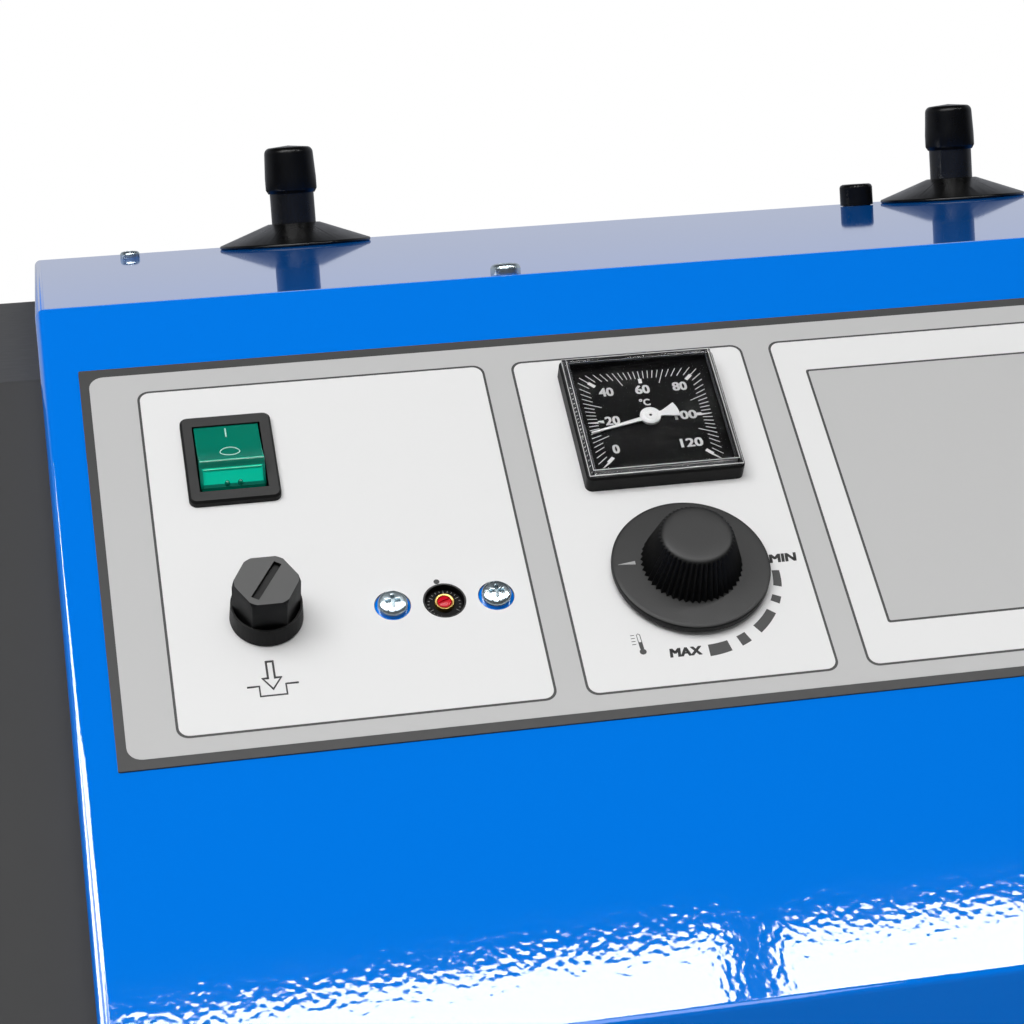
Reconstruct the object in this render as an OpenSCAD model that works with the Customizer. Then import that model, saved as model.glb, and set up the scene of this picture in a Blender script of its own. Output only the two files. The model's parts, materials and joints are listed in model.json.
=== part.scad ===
// Control panel hood of a wood gasification boiler, standing on the top plate of its vessel.
// The hood is one folded sheet: a short front lip, a sloped instrument panel and a flat top.
// X runs to the right, Y from the front to the back and Z up. The origin is at the middle of the base.

/* [Hood] */
// Width of the blue hood between the side casings
hood_w = 586; // [570:1:640]
// Angle of the instrument panel from level
slope_angle = 43.5; // [40:0.5:48]
// Length of the instrument panel from fold to fold
slope_len = 249; // [245:0.5:290]
// Depth of the flat top behind the upper fold
top_depth = 575; // [565:1:640]
// Height of the front lip under the panel
lip_h = 34; // [30:1:60]
// Thickness of the hood sheet
hood_t = 1.5; // [1:0.1:2]
// Outside radius of the folds
fold_r = 3; // [2.6:0.1:5]
// Depth of the cheeks folded down at the sides and the back
cheek_h = 32; // [26:1:50]

/* [Casings and base] */
// Width of each dark side casing
casing_w = 45; // [35:1:60]
// Height of the hood above the side casings
casing_drop = 20; // [15:0.5:24]
// Thickness of the casing sheet
casing_t = 1.2; // [0.8:0.1:2]
// Thickness of the vessel's top plate
plate_t = 6; // [4:0.5:10]
// Thickness of the mineral wool on the vessel
wool_t = 50; // [30:1:60]
// Distance of the mineral wool behind the hood's front
wool_front = 70; // [60:1:90]
// Thickness of the steel strip of the hood's brackets
bracket_t = 3; // [2:0.5:4]
// Width of the steel strip of the hood's brackets
bracket_w = 30; // [20:1:36]
// Length of the feet and the heads of the brackets
bracket_leg = 30; // [24:1:40]

/* [Hood screws] */
// Distance of the front screws from the hood's sides
front_screw_side = 139.2; // [110:0.1:150]
// Distance of the front screws behind the upper fold
front_screw_back = 9; // [8:0.5:14]
// Distance of the rear screws from the hood's sides
rear_screw_side = 44.3; // [33:0.1:70]
// Distance of the rear screws from the hood's back edge
rear_screw_gap = 80; // [60:1:190]
// Diameter of the hood screws' shanks
screw_d = 4; // [3:0.5:5]
// Diameter of the screws' pan heads
screw_head_d = 9.1; // [7.5:0.1:9.2]

/* [Fascia label] */
// Distance of the label from the hood's sides
label_side_gap = 10.6; // [8:0.1:20]
// Distance of the label from the upper fold
label_top_gap = 25.8; // [15:0.1:40]
// Height of the label down the panel
label_h = 136.9; // [130:0.1:145]
// Thickness of the label
label_t = 0.5; // [0.3:0.1:1]

/* [Switch] */
// Middle of the switch from the label's left edge
switch_x = 38.6; // [32:0.1:44]
// Middle of the switch down from the label's upper edge
switch_s = 38; // [30:0.1:42]
// Width of the switch's bezel
switch_w = 25.1; // [24:0.1:26]
// Height of the switch's bezel
switch_h = 31.2; // [30.2:0.1:33]
// Height of the bezel above the label
switch_rim = 2.2; // [1.5:0.1:2.6]
// Width of the rocker
rocker_w = 18; // [17:0.1:18.4]
// Tilt of the rocker to each side
rocker_tilt = 18; // [14:0.5:18]
// Depth of the switch's body behind the label
switch_depth = 22; // [20:0.5:30]

/* [Reset button] */
// Middle of the reset cap from the label's left edge
reset_x = 42.2; // [38:0.1:46]
// Middle of the row of thermostats down from the label's upper edge
row_s = 93.1; // [90:0.1:98]
// Diameter of the reset cap's round foot
reset_foot_d = 19.4; // [18.4:0.1:22]
// Height of the reset cap's round foot
reset_foot_h = 6.5; // [4:0.5:8]
// Depth of the pockets between the foot's rim and the hexagon
reset_pocket_h = 3; // [1:0.5:3.5]
// Distance across the corners of the reset cap's hexagon
reset_hex_d = 18.1; // [16:0.1:18.2]
// Height of the whole reset cap
reset_h = 16; // [14:0.5:20]

/* [Flue thermostat] */
// Middle of the flue thermostat from the label's left edge
flue_x = 89.7; // [80:0.1:92]
// Diameter of the hole over its dial
flue_hole_d = 11.5; // [10:0.1:12]
// Distance between the two screws of a thermostat
thermostat_pitch = 28; // [27:0.5:30]
// Diameter of the label's windows round the screws
screw_window_d = 9.6; // [9.3:0.1:10.5]
// Diameter of the heads of the flue thermostat's screws
flue_screw_head_d = 8; // [7:0.1:9.2]

/* [Thermometer] */
// Middle of the thermometer from the label's left edge
gauge_x = 157.4; // [150:0.1:160]
// Middle of the thermometer down from the label's upper edge
gauge_s = 37.7; // [34:0.1:39]
// Side of the square thermometer
gauge_w = 45.4; // [44:0.1:47]
// Height of the thermometer above the label
gauge_h = 7.2; // [6.8:0.1:9]
// Depth of the thermometer behind the label
gauge_depth = 20; // [14:0.5:30]
// Temperature that the pointer shows
pointer_reading = 14; // [0:1:120]

/* [Thermostat knob] */
// Middle of the thermostat knob from the label's left edge
knob_x = 157.5; // [150:0.1:160]
// Diameter of the knob's disc
knob_d = 43.6; // [40:0.5:46]
// Height of the knob above the label
knob_h = 16.6; // [14:0.1:22]
// Diameter of the foot of the knob's grip
grip_d = 28.3; // [26:0.1:32]
// Diameter of the top of the knob's grip
grip_top_d = 20; // [18:0.1:24]
// Number of flutes round the grip
grip_flutes = 44; // [24:1:48]
// Diameter of the knob's spindle
spindle_d = 6; // [5:0.5:7]
// Depth of the flat on the spindle
spindle_flat = 1.4; // [0.8:0.1:2]
// Height of the knob's middle above the row of the other thermostats
knob_rise = 1.6; // [0:0.1:3]

/* [Cooling pipes] */
// Distance of each cooling pipe from the hood's side
pipe_side = 125; // [100:1:135]
// Distance of the pipes from the hood's back edge
pipe_gap = 50; // [42:1:90]
// Outside diameter of the half inch pipes
pipe_d = 21.3; // [17:0.1:24]
// Wall of the pipes
pipe_wall = 2.6; // [2:0.1:3.2]
// Height of the capped pipes above the hood
pipe_rise = 48; // [42:0.5:70]
// Height of the pipe caps
pipe_cap_h = 23; // [18:0.5:28]
// Wall of the pipe caps
pipe_cap_wall = 1.7; // [1.2:0.1:2.5]
// Diameter of the conical rosettes
rosette_d = 73; // [60:1:78]
// Height of the conical rosettes
rosette_h = 10.5; // [8:0.5:14]
// Distance between the sensor well and the right pipe
well_gap = 51; // [49:1:70]
// Outside diameter of the sensor well
well_d = 14; // [12:0.5:15]
// Diameter of the sensor well's plug
plug_d = 16.5; // [16:0.5:18]
// Height of the sensor well's plug
plug_h = 10.5; // [7:0.5:14]

/* [Hidden] */
$fn = 64;

// Places along the side profile
slope_run = slope_len * cos(slope_angle);
slope_rise = slope_len * sin(slope_angle);
hood_h = lip_h + slope_rise;
depth = slope_run + top_depth;
front_y = -depth / 2;
fold_y = front_y + slope_run;
back_y = depth / 2;
base_w = hood_w + 2 * casing_w;
fold_steps = 6;

// Places of the screws, the pipes and the sensor well on the flat top
front_screw_x = hood_w / 2 - front_screw_side;
rear_screw_x = hood_w / 2 - rear_screw_side;
rear_screw_back = top_depth - rear_screw_gap;
pipe_x = hood_w / 2 - pipe_side;
pipe_back = top_depth - pipe_gap;
pipe_y = fold_y + pipe_back;
well_x = pipe_x - well_gap;

// Clearances, and how far the cutters reach past a face
slip = 0.3;
fit = 0.05;
over = 1;

// Screws: height, height of the side and radius of the edge of the pan heads, and the two sides of the
// cross, as shares of the head's diameter, and the shank's length below the bracket
pan_shares = [0.38, 0.17, 0.17];
cross_shares = [0.5, 0.13];
screw_end = 4;

// Colours
blue = "#0177e3";
charcoal = "#4c4c4c";
black = "#1d1d1d";
steel = "#8f9398";
zinc = "#b9bdc2";
brass = "#c8a24a";
pale = "#e8e8e8";

// Panel: everything behind it starts at the back of the hood sheet
label_w = hood_w - 2 * label_side_gap;
label_x = -hood_w / 2 + label_side_gap;
label_corner_r = 0.5;
sheet_back = -label_t - hood_t - fit;

// Switch
switch_lap = 1.3;
switch_cut_w = switch_w - 2 * switch_lap;
switch_cut_h = switch_h - 2 * switch_lap;
switch_corner_r = 2.2;
switch_bevel = 0.6;
switch_wall = 1;
switch_ear = [1.4, 8, 6];
rocker_gap = 0.35;
rocker_pivot_z = -5;
rocker_pin_d = 2.4;
rocker_ridge = [8.6, 9.3];
rocker_brow = [11.9, 3.6];
rocker_heel = [9, -2.5];
rocker_window = 23.6;

// Blade terminals: width, thickness and length
blade = [6.3, 0.8, 8];

// Thermostats
bush_d = 10;
bush_hole_d = bush_d + 0.4;
thermostat_w = 36;
thermostat_depth = 30;
capsule_d = 30;
capsule_h = 5;
thread_d = screw_d - 0.1;

// Flue thermostat
flue_dial_d = flue_hole_d - 1.3;
flue_dial_front = -1.5;
flue_tip_d = 3.9;
flue_ring_d = 5.5;
flue_stem_d = 5;
flue_stem_h = 11;
flue_pocket = 3;
flue_skirt = 2.4;
flue_thread_h = 10;

// Thermometer
gauge_lap = 2;
gauge_cut_w = gauge_w - 2 * gauge_lap;
gauge_wall = 1.8;
gauge_corner_r = 2;
gauge_bevel = 0.5;
gauge_clip = [1.8, 10, 7];
gauge_rim_h = gauge_h - 2;
gauge_face = gauge_rim_h - 2.7;
gauge_dial_t = 0.6;
gauge_pin_d = 1.2;
gauge_pin_foot = -gauge_depth + 6;
pointer_len = 18.3;
pointer_w = [1.4, 0.5];
pointer_hub_d = 6;
pointer_fan = [4, 0.9, 8.6, 17.5];
gauge_lens_inset = 0.7;
gauge_lens_tab = [6, 1.6, 1.9];

// Knob, seated over the nut, with the spindle's lower and upper ends
knob_gap = 1.3;
knob_roof = 4;
spindle_top = knob_h - knob_roof;
spindle_foot = sheet_back - thermostat_depth / 2 + 1;
knob_disc_h = 2.8;
knob_edge = [0.5, 0.3];
nut_h = 2.2;
nut_d = 16;

// Hood holes
pipe_hole_d = pipe_d + 3;
well_hole_d = well_d + 0.6;
pipe_cap_roof = 1.8;
well_wall = 1.5;
well_floor = 2;

// One point on an arc of radius r round c
function on_arc(c, r, a) = [c[0] + r * cos(a), c[1] + r * sin(a)];

// Side profile of the sheet as [y, z]: lip corner, upper fold and back corner, drawn inwards by inset
// and lowered by drop
function profile(inset, drop) = [
    [front_y + inset, lip_h - drop - inset * (1 - sin(slope_angle)) / cos(slope_angle)],
    [fold_y + inset * tan(slope_angle / 2), hood_h - drop - inset],
    [back_y - inset, hood_h - drop - inset]
];

// Puts its children on the panel: x from the label's left edge, s down from its upper edge and z
// outwards from the label's face
module on_label(x, s) {
    translate([label_x, fold_y, hood_h])
        rotate([slope_angle, 0, 0])
            translate([x, -label_top_gap - s, label_t])
                children();
}

// Puts its children on the flat top of the hood, back from the upper fold
module on_top(x, back) {
    translate([x, fold_y + back, hood_h]) children();
}

// Its children and their mirror image
module pair() {
    children();
    mirror([1, 0, 0]) children();
}

// Rectangle with round corners
module rounded_rect(w, h, r) {
    union() {
        square([w - 2 * r, h], center = true);
        square([w, h - 2 * r], center = true);
        for (x = [-1, 1], y = [-1, 1])
            translate([x * (w / 2 - r), y * (h / 2 - r)]) circle(r, $fn = 32);
    }
}

// Points of a fold's arc of radius r round c, from angle a to angle b
function fold_arc(c, r, a, b) = [for (i = [0:fold_steps]) on_arc(c, r, a + (b - a) * i / fold_steps)];

// Region under the side profile with round folds
module side_shape(inset, r, drop) {
    c = profile(inset + r, drop);
    polygon(concat(
        [[c[0][0] - r, -over]],
        fold_arc(c[0], r, 180, 90 + slope_angle),
        fold_arc(c[1], r, 90 + slope_angle, 90),
        fold_arc(c[2], r, 90, 0),
        [[c[2][0] + r, -over]]
    ));
}

// Bar along Z, w wide and h deep, with the two corners at y = 0 rounded
module round_edged_bar(w, h, r, len) {
    linear_extrude(len, center = true)
        polygon(concat(
            [[-w / 2, -h]],
            fold_arc([-w / 2 + r, -r], r, 180, 90),
            fold_arc([w / 2 - r, -r], r, 90, 0),
            [[w / 2, -h]]
        ));
}

// Solid body under the side profile, w wide, with round folds and round long edges
module rounded_body(w, inset, r, drop) {
    reach = 2 * depth;
    top = hood_h - drop - inset;
    intersection() {
        rotate([90, 0, 90]) linear_extrude(w + 2 * over, center = true) side_shape(inset, r, drop);
        translate([0, 0, top]) rotate([90, 0, 0]) round_edged_bar(w, top + over, r, reach);
        translate([0, front_y + inset, 0])
            rotate([0, 0, 180]) round_edged_bar(w, reach, r, reach);
        translate([0, back_y - inset, 0]) round_edged_bar(w, reach, r, reach);
        translate([0, fold_y, hood_h - drop])
            rotate([slope_angle, 0, 0])
                translate([0, 0, -inset]) rotate([90, 0, 0]) round_edged_bar(w, reach, r, 2 * reach);
    }
}

// Everything below the floor
module below_floor() {
    translate([-base_w, -depth, -40]) cube([2 * base_w, 2 * depth, 40]);
}

// Folded sheet, open below and under its cheeks
module hood_cover() {
    low = profile(0, cheek_h);
    inner_r = fold_r - hood_t;
    color(blue)
        difference() {
            rounded_body(hood_w, 0, fold_r, 0);
            rounded_body(hood_w - 2 * hood_t, hood_t, inner_r, 0);
            below_floor();
            rotate([90, 0, 90])
                linear_extrude(2 * base_w, center = true)
                    polygon([
                        [front_y + fold_r, -over], [front_y + fold_r, max(low[0][1], plate_t + slip)],
                        low[1], [back_y + over, low[2][1]], [back_y + over, -over]
                    ]);
            panel_holes(label_t + hood_t, screw_d + 0.4);
            hood_top_holes();
        }
}

// Holes through the hood's flat top
module hood_top_holes() {
    pair() {
        on_top(front_screw_x, front_screw_back) hole(screw_d + 0.4);
        on_top(rear_screw_x, rear_screw_back) hole(screw_d + 0.4);
        on_top(pipe_x, pipe_back) hole(pipe_hole_d);
    }
    on_top(well_x, pipe_back) hole(well_hole_d);
}

// A round cutter through the sheet
module hole(d) {
    translate([0, 0, -hood_t - over]) cylinder(h = hood_t + 2 * over, d = d);
}

// Cutters for the instruments, reaching back from the label's face
module panel_holes(back, screw_hole) {
    reach = back + 2 * over;
    on_label(switch_x, switch_s)
        translate([0, 0, over - reach / 2]) cube([switch_cut_w, switch_cut_h, reach], center = true);
    on_label(gauge_x, gauge_s)
        translate([0, 0, over - reach / 2]) cube([gauge_cut_w, gauge_cut_w, reach], center = true);
    for (x = [reset_x, knob_x])
        on_label(x, row_s - (x == knob_x ? knob_rise : 0))
            translate([0, 0, over - reach]) cylinder(h = reach, d = bush_hole_d);
    on_label(flue_x, row_s)
        translate([0, 0, over - reach]) cylinder(h = reach, d = flue_hole_d);
    for (side = [-1, 1])
        on_label(flue_x + side * thermostat_pitch / 2, row_s)
            translate([0, 0, over - reach]) cylinder(h = reach, d = screw_hole);
}

// Printed label with the same holes as the hood and wider windows round the screws
module fascia_label() {
    color(pale)
        difference() {
            on_label(label_w / 2, label_h / 2)
                translate([0, 0, -label_t]) linear_extrude(label_t) rounded_rect(label_w, label_h, label_corner_r);
            panel_holes(label_t, screw_window_d);
        }
}

// Side casing: a tray on its side, open towards the hood
module side_casing() {
    inner_r = fold_r - casing_t;
    color(charcoal)
        difference() {
            rounded_body(base_w, 0, fold_r, casing_drop);
            rounded_body(base_w - 2 * casing_t, casing_t, inner_r, casing_drop);
            below_floor();
            translate([-base_w, -depth, -over]) cube([base_w + hood_w / 2, 2 * depth, 2 * hood_h]);
        }
}

module side_casing_right() {
    side_casing();
}

module side_casing_left() {
    mirror([1, 0, 0]) side_casing();
}

// Rear sheet behind the hood's back flange
module rear_panel() {
    tongue_w = hood_w - 2 * fold_r;
    step_z = hood_h - cheek_h - slip;
    top_z = hood_h - fold_r - slip;
    color(charcoal)
        translate([0, back_y - hood_t, 0])
            rotate([90, 0, 0])
                linear_extrude(casing_t)
                    union() {
                        translate([-hood_w / 2, 0]) square([hood_w, step_z]);
                        translate([-tongue_w / 2, 0]) square([tongue_w, top_z]);
                    }
}

// Top plate of the vessel, with the mouths of the cooling pipes and the sensor well
module boiler_top_plate() {
    plate_w = base_w - 2 * casing_t - 2 * slip;
    plate_front = front_y + fold_r + slip;
    plate_back = back_y - fold_r - slip;
    color(steel)
        difference() {
            translate([-plate_w / 2, plate_front, 0]) cube([plate_w, plate_back - plate_front, plate_t]);
            for (x = [-pipe_x, pipe_x])
                translate([x, pipe_y, -over]) cylinder(h = plate_t + 2 * over, d = pipe_d + 2 * fit);
            translate([well_x, pipe_y, -over]) cylinder(h = plate_t + 2 * over, d = well_d + 2 * fit);
        }
}

// Mineral wool mat, cut out round the pipes and the brackets
module insulation_mat() {
    mat_w = hood_w - 2 * hood_t - 2 * slip;
    mat_front = front_y + wool_front;
    mat_back = back_y - fold_r - 2 * slip;
    color("#c9b458")
        translate([0, 0, plate_t])
            difference() {
                translate([-mat_w / 2, mat_front, 0]) cube([mat_w, mat_back - mat_front, wool_t]);
                for (x = [-pipe_x, pipe_x])
                    translate([x, pipe_y, -over]) cylinder(h = wool_t + 2 * over, d = pipe_d + 2 * slip);
                translate([well_x, pipe_y, -over]) cylinder(h = wool_t + 2 * over, d = well_d + 2 * slip);
                pair() {
                    mat_slot(front_screw_x, front_screw_back);
                    mat_slot(rear_screw_x, rear_screw_back);
                }
            }
}

// Slot for one bracket
module mat_slot(x, back) {
    slot = bracket_leg + 2 * slip;
    translate([x - bracket_w / 2 - slip, fold_y + back - bracket_leg / 4 - slip, -over])
        cube([bracket_w + 2 * slip, slot, wool_t + 2 * over]);
}

// Bracket of bent strip, standing on the vessel and tapped for a hood screw
module bracket(x, back) {
    head_z = hood_h - hood_t;
    y0 = fold_y + back - bracket_leg / 4;
    y1 = y0 + bracket_leg;
    color(zinc)
        difference() {
            translate([x, 0, 0])
                rotate([90, 0, 90])
                    linear_extrude(bracket_w, center = true)
                        polygon([
                            [y0, plate_t], [y1, plate_t], [y1, head_z], [y0, head_z],
                            [y0, head_z - bracket_t], [y1 - bracket_t, head_z - bracket_t],
                            [y1 - bracket_t, plate_t + bracket_t], [y0, plate_t + bracket_t]
                        ]);
            translate([x, fold_y + back, head_z - bracket_t - over])
                cylinder(h = bracket_t + 2 * over, d = screw_d);
        }
}

module bracket_front_left() {
    bracket(-front_screw_x, front_screw_back);
}

module bracket_front_right() {
    bracket(front_screw_x, front_screw_back);
}

module bracket_rear_left() {
    bracket(-rear_screw_x, rear_screw_back);
}

module bracket_rear_right() {
    bracket(rear_screw_x, rear_screw_back);
}

// Pan-head screw with a cross recess, its head on z = 0
module pan_screw(head_d, len) {
    head_h = pan_shares[0] * head_d;
    edge_c = [head_d / 2 - pan_shares[2] * head_d, pan_shares[1] * head_d];
    difference() {
        union() {
            rotate_extrude()
                polygon([
                    [0, 0], [head_d / 2, 0],
                    for (a = [0:20:80]) on_arc(edge_c, pan_shares[2] * head_d, a), [0, head_h]
                ]);
            translate([0, 0, -len]) cylinder(h = len + over / 2, d = thread_d);
        }
        for (a = [0, 90])
            rotate(a)
                translate([0, 0, head_h])
                    cube([cross_shares[0] * head_d, cross_shares[1] * head_d, head_h], center = true);
    }
}

module hood_screws_front() {
    color(zinc)
        pair() on_top(front_screw_x, front_screw_back) pan_screw(screw_head_d, hood_t + bracket_t + screw_end);
}

module hood_screws_rear() {
    color(zinc)
        pair() on_top(rear_screw_x, rear_screw_back) pan_screw(screw_head_d, hood_t + bracket_t + screw_end);
}

// Slab with round corners and a bevelled upper edge
module bevelled_slab(w, h, t, corner_r, bevel) {
    hull() {
        linear_extrude(t - bevel) rounded_rect(w, h, corner_r);
        linear_extrude(t) rounded_rect(w - 2 * bevel, h - 2 * bevel, corner_r - bevel);
    }
}

// Pair of wedges that snap in behind the sheet, on the sides of a body w wide
module snap_ears(w, ear) {
    for (side = [0, 1])
        mirror([side, 0, 0])
            translate([w / 2, 0, sheet_back - slip])
                rotate([90, 0, 0])
                    linear_extrude(ear[1], center = true)
                        polygon([[-over, 0], [ear[0], 0], [ear[0], -ear[2] / 4], [0, -ear[2]], [-over, -ear[2]]]);
}

// Bezel and body of the rocker switch
module switch_housing() {
    color(black)
        on_label(switch_x, switch_s)
            difference() {
                union() {
                    bevelled_slab(switch_w, switch_h, switch_rim, switch_corner_r, switch_bevel);
                    translate([0, 0, -switch_depth / 2])
                        cube([switch_cut_w - slip, switch_cut_h - slip, switch_depth], center = true);
                    snap_ears(switch_cut_w - slip, switch_ear);
                }
                cube([rocker_w + 2 * rocker_gap, rocker_window, 3 * switch_rim], center = true);
                translate([0, 0, -switch_depth / 2 + switch_wall - over])
                    cube([
                        rocker_w + 2 * rocker_gap, switch_cut_h - slip - 2 * switch_wall,
                        switch_depth - 2 * over
                    ], center = true);
                translate([0, 0, rocker_pivot_z])
                    rotate([0, 90, 0])
                        cylinder(h = switch_cut_w - 2 * switch_wall + slip, d = rocker_pin_d + 2 * fit, center = true);
            }
}

// Blade terminal with a hole, standing back from z = 0
module blade_terminal() {
    rotate([-90, 0, 0])
        linear_extrude(blade[1], center = true)
            difference() {
                translate([-blade[0] / 2, 0]) square([blade[0], blade[2]]);
                translate([0, blade[2] / 2]) circle(0.13 * blade[0] + 0.1);
            }
}

// Four blade terminals behind the switch
module switch_terminals() {
    color(brass)
        on_label(switch_x, switch_s)
            for (x = [-1, 1], y = [-1, 1])
                translate([x * switch_cut_w / 4, y * switch_cut_h / 4, -switch_depth]) blade_terminal();
}

// Rocker with two raised ends, tilted so that its upper end is pressed
module switch_rocker() {
    hollow = 1.2;
    color("#02846f")
        on_label(switch_x, switch_s)
            translate([0, 0, rocker_pivot_z])
                rotate([-rocker_tilt, 0, 0])
                    union() {
                        rotate([90, 0, 90])
                            linear_extrude(rocker_w, center = true)
                                polygon([
                                    [-rocker_heel[0], rocker_heel[1]], rocker_heel, rocker_brow, rocker_ridge,
                                    [0, rocker_ridge[1] - hollow],
                                    [-rocker_ridge[0], rocker_ridge[1]], [-rocker_brow[0], rocker_brow[1]]
                                ]);
                        rotate([0, 90, 0])
                            cylinder(h = switch_cut_w - 2 * switch_wall, d = rocker_pin_d, center = true);
                    }
}

// Screw cap over the reset button: a hexagon with a coin slot on a round foot, with pockets between the
// hexagon and the foot's rim
module reset_cap() {
    hex_h = reset_h - reset_foot_h;
    hex_edge = 1.2;
    foot_r = reset_foot_d / 2;
    foot_top_r = foot_r - 0.25;
    foot_edge = 0.5;
    pocket_r = foot_top_r - 0.6;
    cap_roof = 3.4;
    coin_slot = [0.72 * reset_hex_d, 2.1, 2.4];
    coin_slot_angle = 57;
    color(charcoal)
        on_label(reset_x, row_s)
            difference() {
                union() {
                    rotate_extrude()
                        polygon([
                            [0, 0], [foot_r - foot_edge, 0], [foot_r, foot_edge], [foot_top_r, reset_foot_h],
                            [pocket_r, reset_foot_h], [pocket_r, reset_foot_h - reset_pocket_h],
                            [0, reset_foot_h - reset_pocket_h]
                        ]);
                    intersection() {
                        cylinder(h = reset_h, d = reset_hex_d, $fn = 6);
                        cylinder(h = reset_h, d1 = reset_hex_d + hex_h, d2 = reset_hex_d - hex_edge);
                    }
                }
                translate([0, 0, -over]) cylinder(h = reset_h - cap_roof + over, d = bush_d + 2 * fit);
                rotate(coin_slot_angle) translate([0, 0, reset_h]) cube(coin_slot, center = true);
            }
}

// Case of a capillary thermostat behind the panel: face plate, moulded block, sensing capsule and the
// three blade terminals below it
module thermostat_case() {
    plate_h = 2;
    plate_corner_r = 3;
    block_corner_r = 2;
    block_w = thermostat_w - 2 * plate_h;
    block_h = thermostat_depth - plate_h;
    translate([0, 0, sheet_back - plate_h]) linear_extrude(plate_h) rounded_rect(thermostat_w, thermostat_w, plate_corner_r);
    translate([0, 0, sheet_back - plate_h - block_h])
        linear_extrude(block_h + over / 2) rounded_rect(block_w, block_w, block_corner_r);
    translate([0, 0, sheet_back - thermostat_depth - capsule_h])
        rotate_extrude()
            polygon([
                [0, 0], [capsule_d / 2 - capsule_h / 2, 0], [capsule_d / 2, capsule_h / 2],
                [capsule_d / 2, capsule_h + over / 2], [0, capsule_h + over / 2]
            ]);
    for (x = [-1, 0, 1])
        translate([x * block_w / 3, -block_w / 2 + over / 2, sheet_back - thermostat_depth / 2])
            rotate([-90, 0, 0]) blade_terminal();
}

// Thermostat with a threaded bush through the sheet
module thermostat_body(bush_front, bore) {
    difference() {
        union() {
            thermostat_case();
            translate([0, 0, sheet_back - over]) cylinder(h = bush_front - sheet_back + over, d = bush_d);
        }
        translate([0, 0, sheet_back - thermostat_depth / 2])
            cylinder(h = thermostat_depth + bush_front + over, d = bore);
    }
}

// Safety thermostat under the reset cap, with its button in the bush
module reset_thermostat() {
    button_gap = 6;
    button_d = 5;
    color(pale) on_label(reset_x, row_s) thermostat_body(reset_h - button_gap, button_d);
}

// Flue gas thermostat behind the label: case and face plate with two tapped holes
module flue_thermostat() {
    color(steel)
        on_label(flue_x, row_s)
            difference() {
                thermostat_case();
                translate([0, 0, sheet_back - flue_pocket]) cylinder(h = flue_pocket + over, d = flue_hole_d);
                translate([0, 0, sheet_back - flue_stem_h - slip])
                    cylinder(h = flue_stem_h + over, d = flue_stem_d + 2 * fit);
                for (side = [-1, 1])
                    translate([side * thermostat_pitch / 2, 0, sheet_back - flue_thread_h])
                        cylinder(h = flue_thread_h + over, d = screw_d);
            }
}

// Dial of the flue thermostat on its slotted stem
module flue_dial() {
    ring_h = 0.5;
    tip_h = 0.9;
    slot = [flue_tip_d + over, 0.8, 1.2];
    slot_angle = 20;
    color(black)
        on_label(flue_x, row_s)
            difference() {
                union() {
                    translate([0, 0, sheet_back - flue_skirt])
                        cylinder(h = flue_dial_front - sheet_back + flue_skirt, d = flue_dial_d);
                    translate([0, 0, sheet_back - flue_stem_h]) cylinder(h = flue_stem_h, d = flue_stem_d);
                    translate([0, 0, flue_dial_front - over]) cylinder(h = over + ring_h, d = flue_ring_d);
                    translate([0, 0, flue_dial_front - over]) cylinder(h = over + tip_h, d = flue_tip_d);
                }
                rotate(slot_angle) translate([0, 0, flue_dial_front + tip_h]) cube(slot, center = true);
            }
}

// The two screws that hold the flue thermostat, seated on the hood
module flue_screws() {
    color(zinc)
        for (side = [-1, 1])
            on_label(flue_x + side * thermostat_pitch / 2, row_s)
                translate([0, 0, -label_t]) pan_screw(flue_screw_head_d, flue_thread_h);
}

// Square case of the thermometer, a tray in front of the panel and a box behind it
module thermometer_case() {
    color(black)
        on_label(gauge_x, gauge_s)
            difference() {
                union() {
                    bevelled_slab(gauge_w, gauge_w, gauge_rim_h, gauge_corner_r, gauge_bevel);
                    translate([0, 0, -gauge_depth / 2])
                        cube([gauge_cut_w - 2 * slip, gauge_cut_w - 2 * slip, gauge_depth], center = true);
                    snap_ears(gauge_cut_w - 2 * slip, gauge_clip);
                }
                translate([0, 0, gauge_face - gauge_dial_t])
                    linear_extrude(gauge_rim_h) rounded_rect(gauge_w - 2 * gauge_wall, gauge_w - 2 * gauge_wall, 1);
                translate([0, 0, gauge_pin_foot - slip])
                    cylinder(h = gauge_depth + gauge_h, d = gauge_pin_d + 2 * fit);
            }
}

// Dial plate in the case
module thermometer_dial() {
    dial_w = gauge_w - 2 * gauge_wall - 2 * fit;
    color(black)
        on_label(gauge_x, gauge_s)
            translate([0, 0, gauge_face - gauge_dial_t])
                difference() {
                    linear_extrude(gauge_dial_t) rounded_rect(dial_w, dial_w, 1);
                    translate([0, 0, -over]) cylinder(h = gauge_dial_t + 2 * over, d = gauge_pin_d + 2 * fit);
                }
}

// Pointer with a fan-shaped counterweight, on its pin
module thermometer_pointer() {
    lift = 0.5;
    blade_t = 0.4;
    reading_angle = 225 - 2.25 * pointer_reading;
    color("white")
        on_label(gauge_x, gauge_s)
            rotate(reading_angle)
                union() {
                    translate([0, 0, gauge_pin_foot])
                        cylinder(h = gauge_face + lift - gauge_pin_foot + blade_t, d = gauge_pin_d);
                    translate([0, 0, gauge_face + lift]) {
                        cylinder(h = 2 * blade_t, d = pointer_hub_d);
                        linear_extrude(blade_t)
                            polygon([
                                [0, -pointer_w[0] / 2], [pointer_len, -pointer_w[1] / 2],
                                [pointer_len, pointer_w[1] / 2], [0, pointer_w[0] / 2],
                                [-pointer_fan[0], pointer_fan[1]],
                                for (i = [0:4]) on_arc([0, 0], -pointer_fan[2], pointer_fan[3] * (i / 2 - 1)),
                                [-pointer_fan[0], -pointer_fan[1]]
                            ]);
                    }
                }
}

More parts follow.
